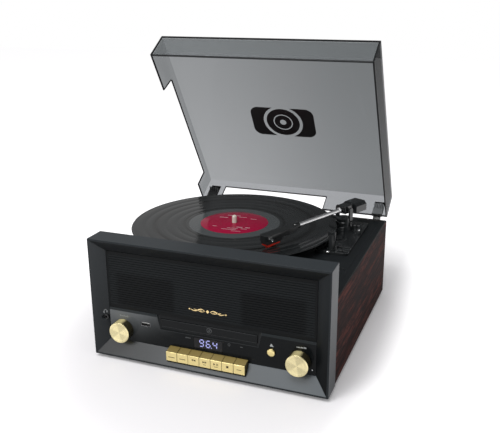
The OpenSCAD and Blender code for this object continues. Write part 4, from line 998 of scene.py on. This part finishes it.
# fans, turn, depth and edges set the painted reflection's dark sectors; the side's are nearly black
knobLook = {
    "Face": {"color": (0.95, 0.84, 0.48), "roughness": 0.26, "metallic": 1.0, "rings": 1500.0, "bump": 0.2,
             "fans": 3.0, "turn": 0.6, "depth": 0.7, "edges": (-0.7, 0.8)},
    "Side": {"color": (1.0, 0.87, 0.44), "roughness": 0.2, "metallic": 0.5, "rings": 1500.0, "bump": 0.0,
             "fans": 2.0, "turn": 3.39, "depth": 0.05, "edges": (0.45, 0.95)}}


def addKnob(name, x):
    r, long, dish, hollow, shaft = (knob[key] for key in ("radius", "length", "dish", "hollow", "shaft"))
    face = [(0, dish), (r * 0.3, dish * 0.97), (r * 0.6, dish * 0.8), (r * 0.8, dish * 0.45),
            (r - 2.4, 0.1)]
    rim = [(r - 2.0, 0.0), (r - 1.0, 0.0), (r - 0.45, 0.18), (r - 0.15, 0.5), (r, 1.1)]
    back = [(r, long - 1.0), (r - 0.6, long), (hollow, long), (hollow, long - 3), (shaft, long - 3),
            (shaft, long + 12.4), (0, long + 12.4)]
    middle = (x, knob["back"] - long, knob["height"])
    facing, around = (spunMetal(name + part, look, vec(*middle)) for part, look in knobLook.items())
    shader = partsOf(facing)[0]
    shader["Anisotropic"].default_value = 0.65
    tangent = addNode(facing.node_tree, "ShaderNodeTangent", direction_type="RADIAL", axis="Y")
    feed(tangent.outputs[0], shader["Tangent"])

    def pick(centre, normal):
        depth = centre.y - middle[1]
        if depth < 0.45 or (depth < 1 and normal.y < -0.8):
            return 1
        return 2 if hypot(centre.x - x, centre.z - knob["height"]) < 5.5 and depth > 2 else 0

    mesh = intoMesh(turned(face + rim + back, middle, 72, "Y"), name, pick)
    addPiece(mesh, name + "_turned", name, [name], [around, facing, finishes["steel"]], 30)


addKnob("tuning_knob", -knob["across"])
addKnob("volume_knob", knob["across"])
dressed("eject_button", 0.15)


def keyPick(centre, normal):
    # tops and sides take darker copies of the gold: painted shade
    return 1 if normal.z > 0.8 else 2 if abs(normal.x) > 0.8 else 0


keyPitch = 15.57
keyMarks = [
    bar(0, -1.6, 9.0, 0.9), bar(0, -1.6, 8.4, 0.9),
    wedge(-1.6, 0.4, -2.9, 3.3) + wedge(1.4, 0.4, -2.9, 3.3),
    wedge(-1.4, 0.4, 2.9, 3.3) + wedge(1.6, 0.4, 2.9, 3.3) + bar(0, -3.2, 4.0, 0.6),
    wedge(-2.0, 0.4, 2.9, 3.3) + bar(0.9, 0.4, 0.8, 3.1) + bar(2.5, 0.4, 0.8, 3.1) + bar(0, -3.2, 5.2, 0.6),
    bar(0, 0, 3.0, 3.0), bar(0, -1.0, 6.2, 0.8)]
for i, mark in enumerate(keyMarks):
    name = f"key_{i + 1}"
    dressed(name, 0.4, mats=[finishes["key_gold"], finishes["keyTop"], finishes["keySide"]], pick=keyPick)
    frontPrint(name + "_mark", mark, (i - 3) * keyPitch, 22.2, name, "darkPrint", 0.02, "keys")
print("front is dressed")


# Platter, record and label

def grooveProfile():
    # rim bead, five bands parted by shallow quiet rings, lead-out step and raised middle
    top, low = 140.5, 138.7
    profile = [(3.65, low), (148.8, low), (150.2, low + 0.15), (150.75, low + 0.9), (150.2, top - 0.15),
               (149.4, top), (148.2, top - 0.03), (147.0, top - 0.25)]
    edges = [147.0, 131.5, 116.5, 100.5, 85.0, 73.5, 67.6]
    for outer, inner in zip(edges, edges[1:]):
        profile += [(outer - 0.8, top - 0.25), (outer - 1.1, top - 0.2), (inner + 0.8, top - 0.2),
                    (inner + 0.5, top - 0.25)]
    return profile + [(67.0, top - 0.25), (66.4, top - 0.05), (65.6, top), (3.65, top)]


def turnedPiece(name, node, profile, steps, smooth=35):
    mesh = intoMesh(turned(profile, (*platterAt, 0), steps, closed=True), node)
    addPiece(mesh, name, node, [node], [finishes[slotOf[node]]], smooth)


turnedPiece("record_pressed", "record", grooveProfile(), 180, 60)
turnedPiece("record_label_disc", "record_label", [
    (3.66, 140.5), (50.0, 140.5), (50.0, 140.62), (49.8, 140.7), (19.2, 140.7), (18.8, 140.66),
    (18.4, 140.7), (3.66, 140.7)], 96)
lines = []
for row in ((-9, 31, 20, 1.3), (6, 25.5, 12, 1.0), (-22, 19.5, 13, 1.3), (24, 20.5, 9, 1.0),
            (13, -20, 9, 1.6), (25, -20, 7, 1.6), (4, -26, 16, 1.1), (21, -26.2, 9, 1.1), (0, -32, 22, 1.0),
            (-24, -22, 6, 1.2), (12, -37.5, 14, 0.9)):
    lines += bar(*row)
printed("label_lines", lines, (*platterAt, 140.7), (1, 0.12, 0), (-0.12, 1, 0), "record_label",
        "labelPrint", 0.02)
turnedPiece("platter_turned", "platter", [
    (3.65, 124.7), (12, 124.7), (12, 131.0), (67, 131.0), (67, 127.0), (70, 127.0), (70, 131.0),
    (97, 131.0), (97.6, 127.0), (100, 127.0), (100, 129.6), (99.4, 130.0), (99.4, 130.8), (100, 131.2),
    (100, 134.6), (99.6, 135.6), (98.5, 136.2), (3.65, 136.2)], 144)
print("turntable is dressed")


# Tonearm

armPlace = {"pivot": (108, 103, 157), "yaw": -23.4, "tube": 3.05, "collar": -12.5, "lift": 7.7}


def inArm(centre):
    # a point in the arm's own frame, its pivot at the origin and its head towards -Y
    return Matrix.Rotation(radians(-armPlace["yaw"]), 3, "Z") @ (centre - Vector(armPlace["pivot"]))


def tubePick(centre, normal):
    at = inArm(centre)
    return at.y < armPlace["collar"] and hypot(at.x, at.z) < armPlace["tube"]


def liftPick(centre, normal):
    # the finger lift at the head's side
    return inArm(centre).x > armPlace["lift"]


def leverPick(centre, normal):
    return centre.x > 133.8 and centre.y < 84.5


silver, chrome = finishes["silver"], finishes["chrome"]
dressed("arm_tube", 0.45, mats=[finishes["tonearm"], silver], pick=tubePick)
dressed("headshell", 0.5, 3, [finishes["headshell"], chrome], liftPick)
bead = [(0, 127.5), (2.6, 127.5), (2.6, 128.4), (2.1, 129.2), (1.2, 129.7), (0, 129.9)]
mesh = intoMesh(turned(bead, (112.5, -6.0, 0), 24), "restBead")
addPiece(mesh, "arm_rest_bead", "arm_rest", (), [chrome])
dressed("cue_lever", 0.4, mats=[finishes["arm_small"], chrome], pick=leverPick)
for name, width in {"arm_base": 0.45, "arm_yoke": 0.45, "cartridge": 0.4, "stylus": 0.25, "cue_lift": 0.4,
                    "arm_rest": 0.35, "speed_selector": 0.35, "stop_switch": 0.35}.items():
    dressed(name, width)

# pale lines round the plate's dial and slots: painted highlights on their edges
plateHighlights = ring(112, 51, 12.2, 0.5, 48)
for x, y, width in ((128.5, 16.5, 21.5), (131, 1.5, 17.5)):
    plateHighlights += stroke(roundedBox(x, y, width, 7.4, 1.5), 0.5, True)
for i in range(9):
    plateHighlights += bar(121.5 + i * 1.8, 23.0, 0.35, 1.4 if i % 4 else 2.2)
printed("plate_edge_highlights", plateHighlights, (0, 0, 127.5), (1, 0, 0), (0, 1, 0), "arm_base", "dimPrint")
print("tonearm is dressed")


# Lid and hinges

# The shut lid's sizes, and how far the painted dark rims and folds reach from its edges
lid = {"hinge": (0, 174.0, 118.1), "open": 58.0, "low": 124, "high": 168.5, "half": 159.6, "rim": 1.2,
       "strip": 1.8, "foldTop": 4.6, "foldLeft": 3.7, "foldRight": 2.4, "foldSide": 6.0}
openTurn = Matrix.Rotation(radians(-lid["open"]), 3, "X")
hinge = Vector(lid["hinge"])


def openPoint(x, y, z):
    # a point of the shut lid, moved to where it is with the lid open
    return openTurn @ (Vector((x, y, z)) - hinge) + hinge


def shut(centre, normal):
    # a face's centre and normal, as they are with the lid shut
    back = openTurn.transposed()
    return back @ (centre - hinge) + hinge, back @ normal


def lidPick(centre, normal):
    at, facing = shut(centre, normal)
    if abs(facing.z) > 0.9:
        return 5 if facing.z < 0 and at.z < 160 else 0         # 5 for the lower rims
    if abs(facing.x) > 0.9 and abs(at.x) > 150:
        return 3 if at.x < 0 else 4
    if abs(facing.y) > 0.9 and (at.y < -125 or at.y > 160):
        return 2 if at.y < 0 else 1
    return 5                                                   # ends of the cut-outs


def addLid():
    # painted shade: dark rounded rims round the walls' ends and dark bands along the outer front and right
    # folds
    bm = solidOf("lid")
    for face in bm.faces:
        face.material_index = lidPick(face.calc_center_median() / mm, face.normal)
    rims = [edge for edge in bm.edges if any(face.material_index == 5 for face in edge.link_faces)
            and edge.calc_face_angle(0) > radians(38)]
    bmesh.ops.bevel(bm, geom=rims, offset=lid["rim"] * mm, segments=2, affect="EDGES", profile=0.5,
                    material=5, clamp_overlap=True)
    low, top, side = lid["low"] + lid["strip"], lid["high"] - lid["foldTop"], lid["high"] - lid["foldSide"]
    left, right = lid["foldLeft"] - lid["half"], lid["half"] - lid["foldRight"]
    for at, way in [((0, 0, z), (0, 0, 1)) for z in (low, top, side)] + [
            ((x, 0, 0), (1, 0, 0)) for x in (left, right)]:
        bmesh.ops.bisect_plane(bm, geom=bm.verts[:] + bm.edges[:] + bm.faces[:], dist=0.0001 * mm,
                               plane_co=openPoint(*at) * mm, plane_no=openTurn @ Vector(way))
    bm.normal_update()
    for face in bm.faces:
        at, facing = shut(face.calc_center_median() / mm, face.normal)
        atFront = facing.y < -0.9 and at.y < -132 and (at.z > top or at.x < left or at.x > right)
        atSide = facing.x > 0.9 and at.x > lid["half"] - 0.6 and at.z > side
        if atFront or atSide or (abs(facing.z) < 0.1 and at.z < low):
            face.material_index = 5
    mats = [lidMats[wall] for wall in ("top", "rear", "front", "left", "right")] + [finishes["lidEdge"]]
    addPiece(intoMesh(bm, "lid"), "lid_body", "lid", ["lid"], mats)


addLid()

ornament = {"half": 50.0, "high": 28.0, "gap": 31.0, "corner": 13.0}


# A plain ornament on the lid: a record between the halves of a rounded plaque
def lidOrnament():
    half, high, gap, corner = ornament.values()
    reach = (gap ** 2 - high ** 2) ** 0.5
    turn = degrees(atan2(high, reach))
    side = [(reach, high)] + arc(half - corner, high - corner, corner, 90, 0, 10)
    side += arc(half - corner, corner - high, corner, 0, -90, 10) + [(reach, -high)]
    side += arc(0, 0, gap, -turn, turn, 24)[1:-1]
    return ring(0, 0, 20.8, 11.0, 64) + ring(0, 0, 9.3, 8.6, 48) + [side[::-1], [(-x, y) for x, y in side]]


printed("lid_ornament", lidOrnament(), openPoint(1.0, 19.0, 166.0), (-1, 0, 0),
        openTurn @ Vector((0, 1, 0)), "lid", "emblem", 0.05)

cap = {"width": 15.6, "low": 126.5, "high": 148.5, "wallY": 165.5, "depth": 1.2, "ribs": 4, "inset": 2.6}


# Ribbed covers over the hinge leaves, on the inside of the lid's rear wall
def addHingeCap(name, x, mat):
    w, low, high, y, inset = cap["width"] / 2, cap["low"], cap["high"], cap["wallY"], cap["inset"]
    shape = [(-w, low), (w, low)] + arc(w - 4, high - 4, 4, 0, 90, 6) + arc(4 - w, high - 4, 4, 90, 180, 6)
    bm = bmesh.new()
    back, front = ([bm.verts.new(openPoint(x + px, y - depth, pz) * mm) for px, pz in shape]
                   for depth in (0.0, cap["depth"]))
    bm.faces.new(back)
    bm.faces.new(front)
    for i in range(len(shape)):
        j = (i + 1) % len(shape)
        bm.faces.new((back[i], back[j], front[j], front[i]))
    bmesh.ops.recalc_face_normals(bm, faces=bm.faces)
    plate = intoMesh(bm, name + "Plate")
    plate.materials.append(mat)
    ribs = barRow(name + "Ribs", (high - low - 5, 1.5, 1.4), 0.4, cap["ribs"],
                  openPoint(x - w + inset, y - cap["depth"], (low + high) / 2),
                  (2 * (w - inset) / (cap["ribs"] - 1), 0, 0), mat, (radians(-lid["open"]), pi / 2, 0))
    mesh, mats = joinMeshes(name, [plate, ribs])
    addPiece(mesh, name, "hinge_moving", (), mats)


addHingeCap("hinge_cap_left", -143, finishes["hinge"])
# the right cap is a lighter copy of the hinge black: painted light for the light the lid's walls hold back
addHingeCap("hinge_cap_right", 143, finishes["capGrey"])
dressed("hinge_moving", 0.8, 3)
for name in ("hinge_fixed", "hinge_pins"):
    dressed(name, 0.25)
print("lid is dressed")


# Sockets at the rear

def plugPick(centre, normal):
    for x, ringFinish in ((-100, 2), (-78, 3)):
        away = hypot(centre.x - x, centre.z - 45)
        if centre.y > 169.3 and away < 6:
            return ringFinish if away < 2.9 else 1
    return abs(centre.x + 42) < 6 and abs(centre.z - 45) < 1.4 and centre.y < 165


socketMats = [finishes[key] for key in ("socket", "chrome", "whiteRing", "redRing")]
dressed("rear_sockets", 0.3, mats=socketMats, pick=plugPick)
print("all pieces are dressed")
